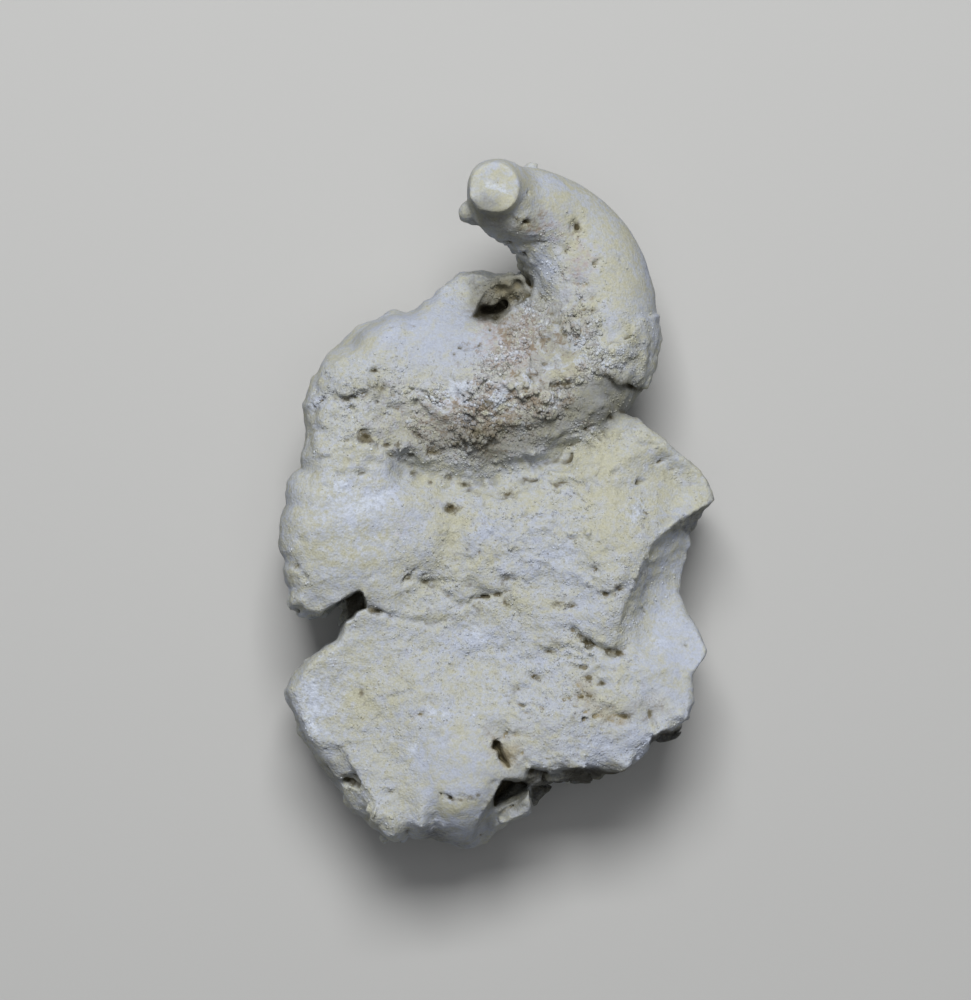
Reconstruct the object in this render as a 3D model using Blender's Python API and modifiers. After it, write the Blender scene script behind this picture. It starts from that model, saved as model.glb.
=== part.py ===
"""Fossil rudist clam still fused to its block of limestone matrix, as one solid.

The specimen lies on its broad back.  +Y runs from the broken foot of the block
to the curled tip of the horn, +X to the right of the block, +Z up out of its face.
"""
import math

import bmesh
import bpy
import numpy as np
from mathutils import Vector

# ------------------------------------------------------------------ constants
UNIT = 0.000175            # one drawing unit of the outline sketches, in metres
MM = 0.001
SHEET_X, SHEET_Y = 496.0, 504.0   # the drawing's middle; y runs down the sheet

FACE_Z = 35.0              # usual height of the block's face, mm
SIDE_Z = 19.0              # height of the widest part of the block, mm
SIDE_HALF = 4.0            # half height of the steep side wall, mm
GRID_STEP = 1.1            # spacing of the relief grid, mm
VOXEL = 0.95               # voxel size that fuses horn and block, mm
TARGET_FACES = 8400        # triangles left after decimation
REST_CUT = 0.9             # rock ground off the back to give the resting flat, mm

STONE_COLOUR = (0.40, 0.40, 0.375, 1.0)
STONE_ROUGHNESS = 0.93

# Outline of the matrix block and the whorl on it, clockwise from the neck.
BLOCK = [
    (622, 413), (640, 421), (655, 434), (676, 449), (698, 471), (714, 500),   # right shoulder, sharp corner
    (701, 516), (690, 535), (685, 560), (680, 590), (693, 620), (704, 650),   # scoop
    (695, 676), (693, 703), (680, 728), (651, 748), (633, 768), (602, 783),   # right foot
    (572, 784), (551, 793), (533, 809), (495, 828), (485, 844), (465, 848),   # underside, foot of the stub
    (433, 840), (396, 840), (367, 817), (338, 787), (312, 751), (293, 713),   # lower left facet
    (287, 690), (304, 661), (336, 638), (342, 623), (359, 610), (366, 598),   # notch, lower edge
    (355, 590), (337, 606), (308, 617), (290, 600), (283, 570), (278, 541),   # notch, upper edge
    (281, 518), (285, 494), (301, 467), (307, 430), (303, 404), (311, 379),   # left side
    (338, 349), (361, 333), (397, 314), (418, 308), (451, 281), (482, 272),   # upper left whorl
    (522, 274), (545, 300), (590, 340),                                       # back rim of the hollow
]

# Centre line of the horn, from its broken tip to the whorl: x, y on the sheet,
# height in mm and radius in drawing units.
HORN = [
    (493, 196, 45.0, 23.5), (494, 197, 41.0, 27.0), (500, 204, 35.5, 33.0),
    (515, 209, 32.0, 37.5), (532, 213, 29.5, 40.5), (550, 224, 27.0, 46.0),
    (567, 241, 25.5, 52.5), (582, 264, 24.5, 58.0), (592, 290, 24.0, 60.0),
    (596, 318, 24.0, 62.0), (592, 345, 24.0, 65.0), (578, 368, 24.5, 66.0),
    (550, 385, 25.0, 68.0), (512, 392, 25.5, 72.0), (468, 394, 25.5, 77.0),
    (428, 388, 23.5, 75.0), (392, 386, 20.0, 66.0),
]

# Broad swellings (+) and hollows (-) of the face: x, y, half widths, turn in
# degrees, height in mm.
SWELLS = [
    (368, 525, 56, 58, 0, 4.0),      # lower left whorl
    (395, 372, 62, 40, 10, 2.2),     # upper left whorl
    (470, 478, 62, 15, -6, -4.8),    # groove under the crossing whorl
    (585, 455, 55, 14, 20, -4.5),    # the groove's right end
    (625, 432, 60, 18, 35, -5.0),    # neck between horn and shoulder
    (690, 488, 45, 40, 0, -5.5),     # shoulder falls to its corner
    (628, 556, 26, 62, -30, 3.2),    # raised lip beside the scoop
    (682, 668, 26, 34, 0, -4.0),     # smooth floor below the scoop
    (575, 720, 85, 42, 0, 2.2),      # lower right lobe
    (468, 785, 34, 60, 5, 3.0),      # broken stub of a second shell
    (600, 655, 30, 7, 10, -2.0),     # ledge groove
    (330, 690, 40, 40, 0, -2.0),     # lower left shoulder
    (326, 775, 48, 26, 42, -9.0),    # lower left facet
    (520, 815, 60, 34, 0, -9.0),     # undercut beside the stub
    (490, 292, 44, 22, 0, -7.5),     # back rim of the hollow sits low
    (365, 435, 16, 8, 0, -1.6), (360, 392, 22, 6, -10, -1.5),
    (452, 508, 8, 8, 0, -1.5), (480, 596, 26, 6, 5, -1.3),
    (500, 752, 7, 18, -25, -5.0),    # slit by the stub
]

# Ellipsoids taken out of the rock: x, y, height mm, half sizes mm, turn degrees.
HOLLOWS = {
    "scoop": ((700, 592, 46.5), (14.0, 25.0, 21.5), -32),
    "whorl_hollow": ((494, 307, 34.0), (4.4, 3.2, 13.0), 18),
    "foot_cavity": ((512, 802, 31.0), (3.4, 3.4, 9.0), -20),
    "side_recess": ((668, 744, 30.0), (4.0, 2.6, 7.0), 25),
}


# -------------------------------------------------------------------- helpers
def sheet(x, y):
    """Drawing position to metres."""
    return (x - SHEET_X) * UNIT, (SHEET_Y - y) * UNIT


def outline_points():
    return [sheet(x, y) for x, y in BLOCK]


def new_collection(name, hidden=False):
    coll = bpy.data.collections.new(name)
    bpy.context.scene.collection.children.link(coll)
    if hidden:
        coll.hide_render = True
    return coll


def add_mesh_object(name, mesh, coll):
    obj = bpy.data.objects.new(name, mesh)
    coll.objects.link(obj)
    return obj


def curve_to_mesh(obj, coll, name):
    """A closed mesh made from a curve object."""
    deps = bpy.context.evaluated_depsgraph_get()
    mesh = bpy.data.meshes.new_from_object(obj.evaluated_get(deps))
    bm = bmesh.new()
    bm.from_mesh(mesh)
    bmesh.ops.remove_doubles(bm, verts=bm.verts, dist=0.00005)
    bmesh.ops.recalc_face_normals(bm, faces=bm.faces)
    bm.to_mesh(mesh)
    bm.free()
    curve = obj.data
    bpy.data.objects.remove(obj)
    bpy.data.curves.remove(curve)
    return add_mesh_object(name, mesh, coll)


def as_cutter(obj):
    obj.display_type = 'WIRE'
    obj.hide_render = True


def boolean(target, other, operation, name, crosses_itself=False):
    mod = target.modifiers.new(name, 'BOOLEAN')
    mod.operation = operation
    mod.solver = 'EXACT'
    mod.use_self = crosses_itself
    mod.object = other
    return mod


def apply_stack(obj):
    """Turns the modifier stack into the object's own mesh."""
    deps = bpy.context.evaluated_depsgraph_get()
    mesh = bpy.data.meshes.new_from_object(obj.evaluated_get(deps))
    obj.modifiers.clear()
    old = obj.data
    obj.data = mesh
    bpy.data.meshes.remove(old)


def edge_distance(xy, ring):
    """Distance to a closed outline, positive inside it."""
    best = np.full(len(xy), 1e9)
    inside = np.zeros(len(xy), bool)
    count = len(ring)
    for i in range(count):
        a = np.array(ring[i])
        b = np.array(ring[(i + 1) % count])
        ab = b - a
        t = np.clip(((xy - a) @ ab) / (ab @ ab), 0.0, 1.0)
        best = np.minimum(best, np.linalg.norm(xy - (a + t[:, None] * ab), axis=1))
        crosses = (a[1] > xy[:, 1]) != (b[1] > xy[:, 1])
        if abs(ab[1]) > 1e-12:
            at = a[0] + (xy[:, 1] - a[1]) * ab[0] / ab[1]
            inside ^= crosses & (xy[:, 0] < at)
    return np.where(inside, best, -best)


def bump(xy, x, y, wide, tall, turn, height):
    """One smooth swelling of the face, in mm."""
    cx, cy = sheet(x, y)
    c, s = math.cos(math.radians(turn)), math.sin(math.radians(turn))
    dx, dy = xy[:, 0] - cx, xy[:, 1] - cy
    u = (c * dx + s * dy) / (wide * UNIT)
    v = (-s * dx + c * dy) / (tall * UNIT)
    return height * np.exp(-0.5 * (u * u + v * v))


def face_height(xy, ring):
    """Height of the block's face over its plan, in mm."""
    height = np.full(len(xy), FACE_Z)
    for swell in SWELLS:
        height += bump(xy, *swell)
    height += 0.5 * np.sin(xy[:, 0] / (5.1 * MM) + 1.0) * np.sin(xy[:, 1] / (6.3 * MM) + 0.4)
    height += 0.3 * np.sin(xy[:, 0] / (2.3 * MM) + 2.0 * np.sin(xy[:, 1] / (4.0 * MM)))
    inward = edge_distance(xy, ring) / MM
    # the whorled left side turns over more gently than the broken edges
    turn_over = 6.5 + bump(xy, 330, 420, 90, 170, 0, 5.0)
    t = np.clip(inward / turn_over, 0.0, 1.0)
    crown = np.sqrt(1.0 - (1.0 - t) ** 2)
    low = SIDE_Z + SIDE_HALF
    return low + (height - low) * crown, inward


def back_height(xy, inward):
    """Height of the broad back over its plan, in mm."""
    rough = 0.5 * np.sin(xy[:, 0] / (7.0 * MM) + 0.7) * np.sin(xy[:, 1] / (8.5 * MM) + 2.0)
    bowl = 3.0 * np.clip((np.hypot(xy[:, 0] / MM + 1.0, (xy[:, 1] / MM + 12.0) * 0.72) - 15.0) / 14.0, 0.0, 2.0) ** 2
    t = np.clip(inward / 13.0, 0.0, 1.0)
    crown = np.sqrt(1.0 - (1.0 - t) ** 2)
    low = SIDE_Z - SIDE_HALF
    return low - (low - 0.4 - rough - np.minimum(bowl, 9.0)) * crown


# --------------------------------------------------------------- construction
def make_relief_slab(coll):
    """The block's face and back as one closed slab, wider than its outline."""
    ring = outline_points()
    xs = [p[0] for p in ring]
    ys = [p[1] for p in ring]
    x0, x1 = min(xs) - 3 * MM, max(xs) + 3 * MM
    y0, y1 = min(ys) - 3 * MM, max(ys) + 3 * MM
    across = round((x1 - x0) / (GRID_STEP * MM))
    along = round((y1 - y0) / (GRID_STEP * MM))
    bpy.ops.mesh.primitive_grid_add(x_subdivisions=across, y_subdivisions=along, size=1.0)
    slab = bpy.context.object
    slab.name = "relief_slab"
    for owner in list(slab.users_collection):
        owner.objects.unlink(slab)
    coll.objects.link(slab)
    bm = bmesh.new()
    bm.from_mesh(slab.data)
    for v in bm.verts:
        v.co.x = (x0 + x1) / 2 + v.co.x * (x1 - x0)
        v.co.y = (y0 + y1) / 2 + v.co.y * (y1 - y0)
    lower = list(bm.verts)
    grown = bmesh.ops.extrude_face_region(bm, geom=list(bm.faces))
    upper = [g for g in grown["geom"] if isinstance(g, bmesh.types.BMVert)]
    for group, which in ((lower, "back"), (upper, "face")):
        xy = np.array([(v.co.x, v.co.y) for v in group])
        face, inward = face_height(xy, ring)
        back = back_height(xy, inward)
        heights = face if which == "face" else back
        for v, z in zip(group, heights):
            v.co.z = float(z) * MM
    bmesh.ops.recalc_face_normals(bm, faces=bm.faces)
    bm.to_mesh(slab.data)
    bm.free()
    return slab


def make_outline_prism(coll):
    """The block's plan outline, extruded right through it."""
    data = bpy.data.curves.new("block_outline", 'CURVE')
    data.dimensions = '2D'
    data.fill_mode = 'BOTH'
    data.extrude = 40 * MM
    spline = data.splines.new('POLY')
    pts = outline_points()
    spline.points.add(len(pts) - 1)
    for point, (x, y) in zip(spline.points, pts):
        point.co = (x, y, 0.0, 1.0)
    spline.use_cyclic_u = True
    obj = bpy.data.objects.new("block_outline", data)
    coll.objects.link(obj)
    prism = curve_to_mesh(obj, coll, "outline_prism")
    prism.location.z = 25 * MM
    as_cutter(prism)
    return prism


def make_horn(coll):
    """The tapering, coiled horn as a tube with a flat broken tip."""
    data = bpy.data.curves.new("horn_path", 'CURVE')
    data.dimensions = '3D'
    data.resolution_u = 4
    data.bevel_depth = 1.0
    data.bevel_resolution = 7
    data.use_fill_caps = True
    spline = data.splines.new('BEZIER')
    spline.bezier_points.add(len(HORN) - 1)
    for point, (x, y, z, r) in zip(spline.bezier_points, HORN):
        px, py = sheet(x, y)
        point.co = (px, py, z * MM)
        point.handle_left_type = point.handle_right_type = 'AUTO'
        point.radius = r * UNIT
    obj = bpy.data.objects.new("horn_path", data)
    coll.objects.link(obj)
    return curve_to_mesh(obj, coll, "horn")


def make_lump(coll, name, centre, half, turn):
    """An ellipsoid, used both for lumps and for hollows."""
    bpy.ops.mesh.primitive_uv_sphere_add(segments=32, ring_count=20, radius=1.0)
    lump = bpy.context.object
    lump.name = name
    for owner in list(lump.users_collection):
        owner.objects.unlink(lump)
    coll.objects.link(lump)
    x, y = sheet(centre[0], centre[1])
    lump.location = (x, y, centre[2] * MM)
    lump.scale = (half[0] * MM, half[1] * MM, half[2] * MM)
    lump.rotation_euler.z = math.radians(turn)
    return lump


def make_stub(coll):
    """The stub of a second shell that ends at the block's foot."""
    x, y = sheet(468, 786)
    bpy.ops.mesh.primitive_cone_add(vertices=36, radius1=5.2 * MM, radius2=6.6 * MM, depth=20.5 * MM)
    stub = bpy.context.object
    stub.name = "stub"
    for owner in list(stub.users_collection):
        owner.objects.unlink(stub)
    coll.objects.link(stub)
    stub.location = (x, y, 28.5 * MM)
    stub.rotation_euler = (math.radians(-96), 0.0, math.radians(-2))
    return stub


def make_stone():
    mat = bpy.data.materials.new("stone")
    mat.use_nodes = True
    shader = mat.node_tree.nodes["Principled BSDF"]
    shader.inputs["Base Color"].default_value = STONE_COLOUR
    shader.inputs["Roughness"].default_value = STONE_ROUGHNESS
    shader.inputs["Metallic"].default_value = 0.0
    return mat


def build():
    for old in list(bpy.data.objects):
        bpy.data.objects.remove(old)
    parts = new_collection("fossil_rudist_clam")
    tools = new_collection("cutters", hidden=True)

    rock = make_relief_slab(parts)
    rock.name = "rudist_in_matrix"
    rock.data.name = "rudist_in_matrix"

    boolean(rock, make_outline_prism(tools), 'INTERSECT', "plan outline")
    additions = [make_horn(tools), make_stub(tools),
                 make_lump(tools, "tip_knob", (469, 214, 33.0), (2.0, 1.9, 3.0), 0),
                 make_lump(tools, "flake", (634, 352, 26.0), (5.0, 6.0, 7.6), -20)]
    for piece in additions:
        as_cutter(piece)
        boolean(rock, piece, 'UNION', piece.name, crosses_itself=piece.name == "horn")
    for name, (centre, half, turn) in HOLLOWS.items():
        hollow = make_lump(tools, name, centre, half, turn)
        as_cutter(hollow)
        boolean(rock, hollow, 'DIFFERENCE', name)

    fuse = rock.modifiers.new("fuse", 'REMESH')
    fuse.mode = 'VOXEL'
    fuse.voxel_size = VOXEL * MM
    fuse.adaptivity = 0.0
    soften = rock.modifiers.new("soften", 'SMOOTH')
    soften.factor = 0.5
    soften.iterations = 3
    apply_stack(rock)

    # fewer, larger facets, then the resting flat ground on the back
    rock.data.calc_loop_triangles()
    thin = rock.modifiers.new("thin", 'DECIMATE')
    thin.ratio = min(1.0, TARGET_FACES / len(rock.data.loop_triangles))
    thin.use_collapse_triangulate = True
    apply_stack(rock)

    bpy.ops.mesh.primitive_cube_add(size=1.0)
    grinder = bpy.context.object
    grinder.name = "resting_flat"
    for owner in list(grinder.users_collection):
        owner.objects.unlink(grinder)
    tools.objects.link(grinder)
    grinder.dimensions = (0.2, 0.2, 0.02)
    low = min(v.co.z for v in rock.data.vertices)
    grinder.location = (0.0, 0.0, low + REST_CUT * MM - 0.01)
    as_cutter(grinder)
    boolean(rock, grinder, 'DIFFERENCE', "resting flat")
    apply_stack(rock)

    bm = bmesh.new()
    bm.from_mesh(rock.data)
    bmesh.ops.remove_doubles(bm, verts=bm.verts, dist=0.00008)
    bmesh.ops.triangulate(bm, faces=bm.faces)
    xs = [v.co.x for v in bm.verts]
    ys = [v.co.y for v in bm.verts]
    zs = [v.co.z for v in bm.verts]
    shift = Vector((-(min(xs) + max(xs)) / 2, -(min(ys) + max(ys)) / 2, -min(zs)))
    bmesh.ops.translate(bm, verts=bm.verts, vec=shift)
    bm.to_mesh(rock.data)
    bm.free()

    rock.data.materials.clear()
    rock.data.materials.append(make_stone())


build()
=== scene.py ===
import math

import bpy
import numpy as np
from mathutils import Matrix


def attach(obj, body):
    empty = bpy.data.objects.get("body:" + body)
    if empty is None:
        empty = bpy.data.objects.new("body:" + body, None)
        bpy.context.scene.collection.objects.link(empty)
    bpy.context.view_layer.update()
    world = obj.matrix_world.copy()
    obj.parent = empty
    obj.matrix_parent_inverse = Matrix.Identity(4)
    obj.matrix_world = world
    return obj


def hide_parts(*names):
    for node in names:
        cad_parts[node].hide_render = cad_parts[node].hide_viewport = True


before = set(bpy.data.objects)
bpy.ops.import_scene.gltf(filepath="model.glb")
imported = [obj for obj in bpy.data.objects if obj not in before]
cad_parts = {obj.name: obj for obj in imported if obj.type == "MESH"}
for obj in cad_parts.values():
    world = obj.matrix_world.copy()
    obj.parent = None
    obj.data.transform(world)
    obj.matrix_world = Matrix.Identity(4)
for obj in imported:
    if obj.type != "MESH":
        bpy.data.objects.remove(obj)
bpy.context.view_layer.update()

# ---------------------------------------------------------------------------
# The specimen is sculpted as a signed field on a fine grid, in "sheet" space:
# px, py are positions on the photograph's 971 x 1000 frame, z is the height in
# mm over the drawing's base.  The finished surface is then moved into the
# CAD's frame through the camera's perspective, so it lines up with both.
# ---------------------------------------------------------------------------
U = 0.175                      # mm for one pixel at the reference height
SX, SY = 496.0, 504.0          # middle of the drawing
CX, CY = 485.5, 500.0          # the camera looks through the frame's centre
CAM_HEIGHT, REF_HEIGHT = 600.0, 22.0
SHIFT = np.array([0.05, 0.89, -0.80])   # drawing to CAD frame, mm
BASE = 0.80                    # the resting plane's height in the drawing, mm
FACE = 35.0
RIM = 16.0                     # the back's edge, mm

STEP = 0.30

f32 = np.float32
ga = np.arange((268 - SX) * U, (724 - SX) * U, STEP).astype(f32)
gb = np.arange((SY - 860) * U, (SY - 148) * U, STEP).astype(f32)
gz = np.arange(0.0, 48.4, STEP).astype(f32)
NA, NB, NZ = len(ga), len(gb), len(gz)
PX = (SX + ga / U)[:, None] + np.zeros((1, NB), f32)
PY = (SY - gb / U)[None, :] + np.zeros((NA, 1), f32)


def at(px, py):
    return (px - SX) * U, (SY - py) * U


# ------------------------------------------------------------------- 2-D maps
def blob(x, y, wide, tall, turn=0.0, shift=(0.0, 0.0)):
    """Soft round mask on the plan, 1 at its middle; shift bends its outline."""
    c, s = math.cos(math.radians(turn)), math.sin(math.radians(turn))
    dx, dy = PX + shift[0] - x, -(PY + shift[1] - y)
    u, v = (c * dx + s * dy) / wide, (-s * dx + c * dy) / tall
    return np.exp(-0.5 * (u * u + v * v))


def segments(points, closed=False):
    pts = [np.array(p, float) for p in points]
    ends = pts[1:] + ([pts[0]] if closed else [])
    return list(zip(pts, ends))


def line_distance(points, closed=False):
    """Distance in pixels to a polyline on the plan."""
    best = np.full(PX.shape, 1e9, f32)
    for p, q in segments(points, closed):
        d = q - p
        t = np.clip(((PX - p[0]) * d[0] + (PY - p[1]) * d[1]) / max(d @ d, 1e-9), 0, 1)
        best = np.minimum(best, np.hypot(PX - (p[0] + t * d[0]), PY - (p[1] + t * d[1])))
    return best


def polygon(points):
    """Signed distance in pixels to an outline on the plan, positive inside."""
    inside = np.zeros(PX.shape, bool)
    for p, q in segments(points, True):
        crosses = (p[1] > PY) != (q[1] > PY)
        if abs(q[1] - p[1]) > 1e-9:
            x = p[0] + (PY - p[1]) * (q[0] - p[0]) / (q[1] - p[1])
            inside ^= crosses & (PX < x)
    d = line_distance(points, True)
    return np.where(inside, d, -d)


def line(points, width):
    d = line_distance(points)
    return np.exp(-0.5 * (d / width) ** 2)


def soft(x, low, high):
    t = np.clip((x - low) / (high - low), 0, 1)
    return t * t * (3 - 2 * t)


# ------------------------------------------------------------------- 3-D noise
def weights(coords, wave, rng_shift):
    """Cubic B-spline weights of each coordinate on a lattice of that spacing."""
    x = (coords - coords[0]) / wave + rng_shift
    n = int(x.max()) + 4
    w = np.zeros((len(coords), n), f32)
    i = np.floor(x).astype(int)
    t = x - i
    rows = np.arange(len(coords))
    for k, part in enumerate(((1 - t) ** 3 / 6, (3 * t ** 3 - 6 * t ** 2 + 4) / 6,
                              (-3 * t ** 3 + 3 * t ** 2 + 3 * t + 1) / 6, t ** 3 / 6)):
        w[rows, i + k] = part
    return w


def noise(wave, seed, stretch=(1.0, 1.0, 1.0)):
    """Smooth random field over the whole grid with unit spread."""
    rng = np.random.default_rng(seed)
    wa = weights(ga, wave * stretch[0], rng.random())
    wb = weights(gb, wave * stretch[1], rng.random())
    wz = weights(gz, wave * stretch[2], rng.random())
    r = rng.standard_normal((wa.shape[1], wb.shape[1], wz.shape[1])).astype(f32)
    r = np.tensordot(wa, r, (1, 0))                     # a, lb, lz
    r = np.tensordot(r, wb, (1, 1))                     # a, lz, b
    r = np.tensordot(r, wz, (1, 1))                     # a, b, z
    return (r / 0.331).astype(f32)


def noise2(wave, seed, stretch=(1.0, 1.0)):
    rng = np.random.default_rng(seed)
    wa = weights(ga, wave * stretch[0], rng.random())
    wb = weights(gb, wave * stretch[1], rng.random())
    r = rng.standard_normal((wa.shape[1], wb.shape[1])).astype(f32)
    return (wa @ r @ wb.T / 0.479).astype(f32)


# ----------------------------------------------------------------- the outline
OUTLINE = [
    (622, 413), (629, 417), (640, 421), (655, 434), (668, 443), (676, 449), (688, 460),
    (698, 471), (706, 483), (711, 492), (714, 500), (709, 508), (701, 516), (695, 526),
    (690, 535), (690, 546), (685, 560), (681, 573), (680, 590), (684, 604), (693, 620),
    (700, 634), (704, 650), (702, 661), (695, 676), (694, 690), (693, 703), (688, 716),
    (680, 728), (672, 737), (660, 744), (651, 748), (643, 757), (633, 768), (618, 777),
    (602, 783), (588, 782), (572, 783), (560, 786), (551, 793), (543, 801), (533, 809),
    (524, 815), (512, 820), (502, 826), (495, 828), (491, 836), (485, 844), (477, 849),
    (465, 848), (450, 844), (433, 840), (414, 838), (408, 834), (402, 838), (396, 840),
    (388, 836), (380, 827), (367, 817), (354, 810), (347, 799), (338, 787), (329, 774),
    (320, 762), (312, 751), (305, 738), (299, 726), (293, 713), (289, 701), (287, 690),
    (290, 682), (297, 671), (304, 661), (316, 653), (329, 643), (336, 638), (340, 630),
    (342, 620), (341, 610), (337, 606), (324, 614), (308, 617), (299, 614), (298, 609),
    (292, 607), (290, 600), (291, 588), (285, 576), (283, 570), (284, 561), (279, 552),
    (278, 541), (280, 530), (281, 518), (286, 504), (285, 494), (287, 482), (293, 473),
    (301, 467), (300, 457), (303, 446), (307, 430), (306, 417), (303, 404), (308, 391),
    (311, 379), (320, 367), (328, 356), (338, 349), (353, 344), (361, 333), (373, 323),
    (386, 316), (397, 314), (409, 315), (418, 308), (429, 298), (439, 288), (451, 281),
    (461, 275), (471, 273), (482, 272), (494, 274), (504, 276), (513, 274), (522, 274),
    (529, 279), (540, 295), (560, 330), (590, 380),
]
edge = polygon(OUTLINE) * U                       # mm, positive inside
edge = edge + (0.13 * noise2(2.6, 14) + 0.10 * noise2(1.1, 15)) * (1 - 0.7 * blob(300, 540, 40, 120))

# ------------------------------------------------------- the face of the block
H = np.full(PX.shape, FACE, f32)
for x, y, wide, tall, turn, height in [
    (366, 525, 58, 58, 0, 3.6),       # lower left whorl
    (330, 430, 36, 60, 0, 2.4),       # whorl's left flank
    (395, 372, 62, 40, 10, 2.2),      # upper left whorl
    (690, 488, 45, 40, 0, -5.5),      # shoulder falls to its corner
    (628, 556, 26, 62, -30, 2.2),     # raised lip beside the scoop
    (690, 668, 24, 34, 0, -2.6),      # smooth floor below the scoop
    (575, 715, 85, 42, 0, 2.2),       # lower right lobe
    (462, 760, 40, 48, 5, 2.4),       # broken stub of a second shell
    (330, 690, 40, 40, 0, -1.0),      # lower left shoulder
    (530, 822, 40, 18, 0, -5.0),      # undercut beside the stub
    (485, 292, 46, 22, 0, -7.5),      # back rim of the hollow sits low
    (500, 545, 70, 40, 0, 1.2),
    (440, 640, 50, 40, 0, -0.8),
    (600, 620, 40, 20, 10, 0.8),
    (640, 640, 30, 14, 30, -1.0),
    (650, 715, 9, 28, 8, -1.2),
]:
    H += height * blob(x, y, wide, tall, turn)
H -= 3.6 * line([(405, 470), (440, 480), (480, 482), (520, 474),
                 (560, 458), (600, 436), (628, 416)], 12)
H -= 0.55 * line([(408, 578), (424, 582), (437, 588), (446, 595), (454, 603), (470, 604)], 2.2)
H -= 0.45 * line([(424, 582), (450, 582), (476, 588), (500, 596)], 2.0)
H -= 0.9 * line([(446, 492), (455, 520), (448, 556), (430, 584), (404, 600)], 9)
H -= 1.0 * line([(573, 630), (584, 641), (600, 648), (612, 653), (624, 650)], 3.4)
H -= 0.4 * line([(651, 712), (653, 724), (648, 742)], 3.2)
H -= 0.5 * line([(366, 604), (380, 612), (402, 619), (430, 624), (452, 618)], 2.6)
H -= 0.5 * line([(484, 597), (500, 594), (512, 590)], 1.8)
for pts in ([(336, 396), (346, 400), (356, 398), (366, 394)], [(330, 416), (344, 420), (358, 424)],
            [(318, 440), (334, 444), (350, 440)], [(312, 462), (330, 458)], [(372, 404), (384, 410), (398, 408)],
            [(350, 376), (362, 380), (376, 376)], [(398, 424), (412, 430), (424, 440)], [(286, 566), (296, 572), (306, 578)],
            [(300, 540), (320, 536)], [(330, 470), (350, 476), (366, 472)], [(384, 452), (398, 458), (412, 466)]):
    H -= 0.42 * line(pts, 2.2) * np.clip(1 + 0.9 * noise2(1.6, 42), 0, 2.4)
H += 0.8 * blob(342, 384, 10, 7, 10) + 0.5 * blob(372, 428, 9, 5, 10) + 0.35 * blob(362, 378, 8, 5)
H -= 0.55 * line([(334, 395), (342, 399), (352, 397), (360, 393), (368, 396)], 2.4) * np.clip(1 + 0.5 * noise2(1.3, 54), 0, 2)
H -= 0.45 * line([(372, 385), (380, 389), (384, 383)], 2.2)
H -= 0.7 * line([(556, 484), (570, 481), (584, 484)], 2.5)
H += noise2(14.0, 1) * 0.50 + noise2(7.0, 2) * 0.40
H += 0.32 * noise2(3.2, 6, (1.7, 0.75)) * np.clip(blob(340, 430, 60, 60) + 0.5 * blob(330, 560, 50, 60), 0, 1)
# the hollow in the whorl: a rough wall slopes down from the top edge to a deep, ragged foot
pocket = polygon([(473, 316), (476, 309), (476, 298), (470, 288), (474, 262), (545, 258), (538, 288), (526, 299),
                  (515, 307), (508, 311), (500, 315), (494, 320), (484, 323), (477, 321)])
pocket = pocket + 1.1 * noise2(1.1, 16) + 0.8 * noise2(0.6, 17)
fall = PY - np.interp(PX, [470, 480, 488, 496, 506, 530], [303, 296, 288, 281, 276, 271])
slope = 3.6 * np.clip((fall + 1.4 * noise2(1.5, 8) + 0.9 * noise2(0.8, 22)) / 24, 0, 1)
foot = PY - np.interp(PX, [470, 476, 482, 490, 500, 506, 512, 518], [313, 307, 302, 299, 298, 300, 305, 311])
shallow = soft(PX + 0.5 * (PY - 300) + 2.0 * noise2(1.4, 37), 502, 518)
deep = 4.7 * soft(foot + 1.3 * noise2(1.6, 58) + 0.8 * noise2(0.6, 59), -3.0, 12.0) * (1 - 0.85 * shallow)
fall = slope + deep
H -= (soft(pocket, -2.5, 6.0) * slope + soft(pocket, -1.2, 1.8) * deep) * (1 - 0.55 * soft(PX, 517, 529))
H += 0.8 * blob(528, 281, 15, 12)
H -= 0.16 * line([(424, 351), (440, 358), (460, 362), (486, 362)], 1.2)

# the stub: a smooth column that ends at a small lip and curves away below it
stub = soft(PX, 422, 436) * (1 - soft(PX, 503, 512)) * soft(PY, 715, 740)
crest = 37.6 - 0.9 * ((PX - 462) / 34) ** 2 - 0.5 * ((PY - 765) / 34) ** 2
H = H * (1 - 0.75 * stub) + crest * 0.75 * stub
lip_y = 799 - 4 * np.clip((PX - 458) / 24, -1, 1) ** 2
drop = np.clip((PY - lip_y) / (850 - 799), 0, 1)
column = 37.0 - 20.0 * (1 - np.sqrt(np.maximum(1 - drop ** 1.7, 0))) - 1.2 * ((PX - 458) / 26) ** 2
under_lip = soft(PY - lip_y, -8, 12) * soft(PX, 420, 440) * (1 - soft(PX, 486, 500))
H = H * (1 - under_lip) + column * under_lip


def beyond(xs, ys, slope, low, high, fade=8):
    """Breaks the face off downwards past a line y(x), between two x values."""
    global H
    past = np.maximum(PY - np.interp(PX, xs, ys), 0) * U
    H = H - slope * past * soft(PX, low - fade, low) * (1 - soft(PX, high, high + fade))


def level(points, height, edge_px):
    """Brings an area of the plan to a given height."""
    global H
    m = soft(polygon(points), -edge_px, edge_px)
    H = H * (1 - m) + height * m


# its right flank falls away past a crisp line
past = (PX - np.interp(PY, [735, 752, 764, 779, 789, 796, 807, 817, 827, 836, 850],
                       [491, 496, 502.5, 502, 497.5, 493, 485.5, 480, 475.5, 473, 470])) * U
past = np.clip(past, 0, 5)
H = H - (3.4 * (1 - np.exp(-past / 0.55)) + 1.0 * past) * soft(PY, 775, 784) * (1 - soft(PX, 502, 540))
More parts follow.
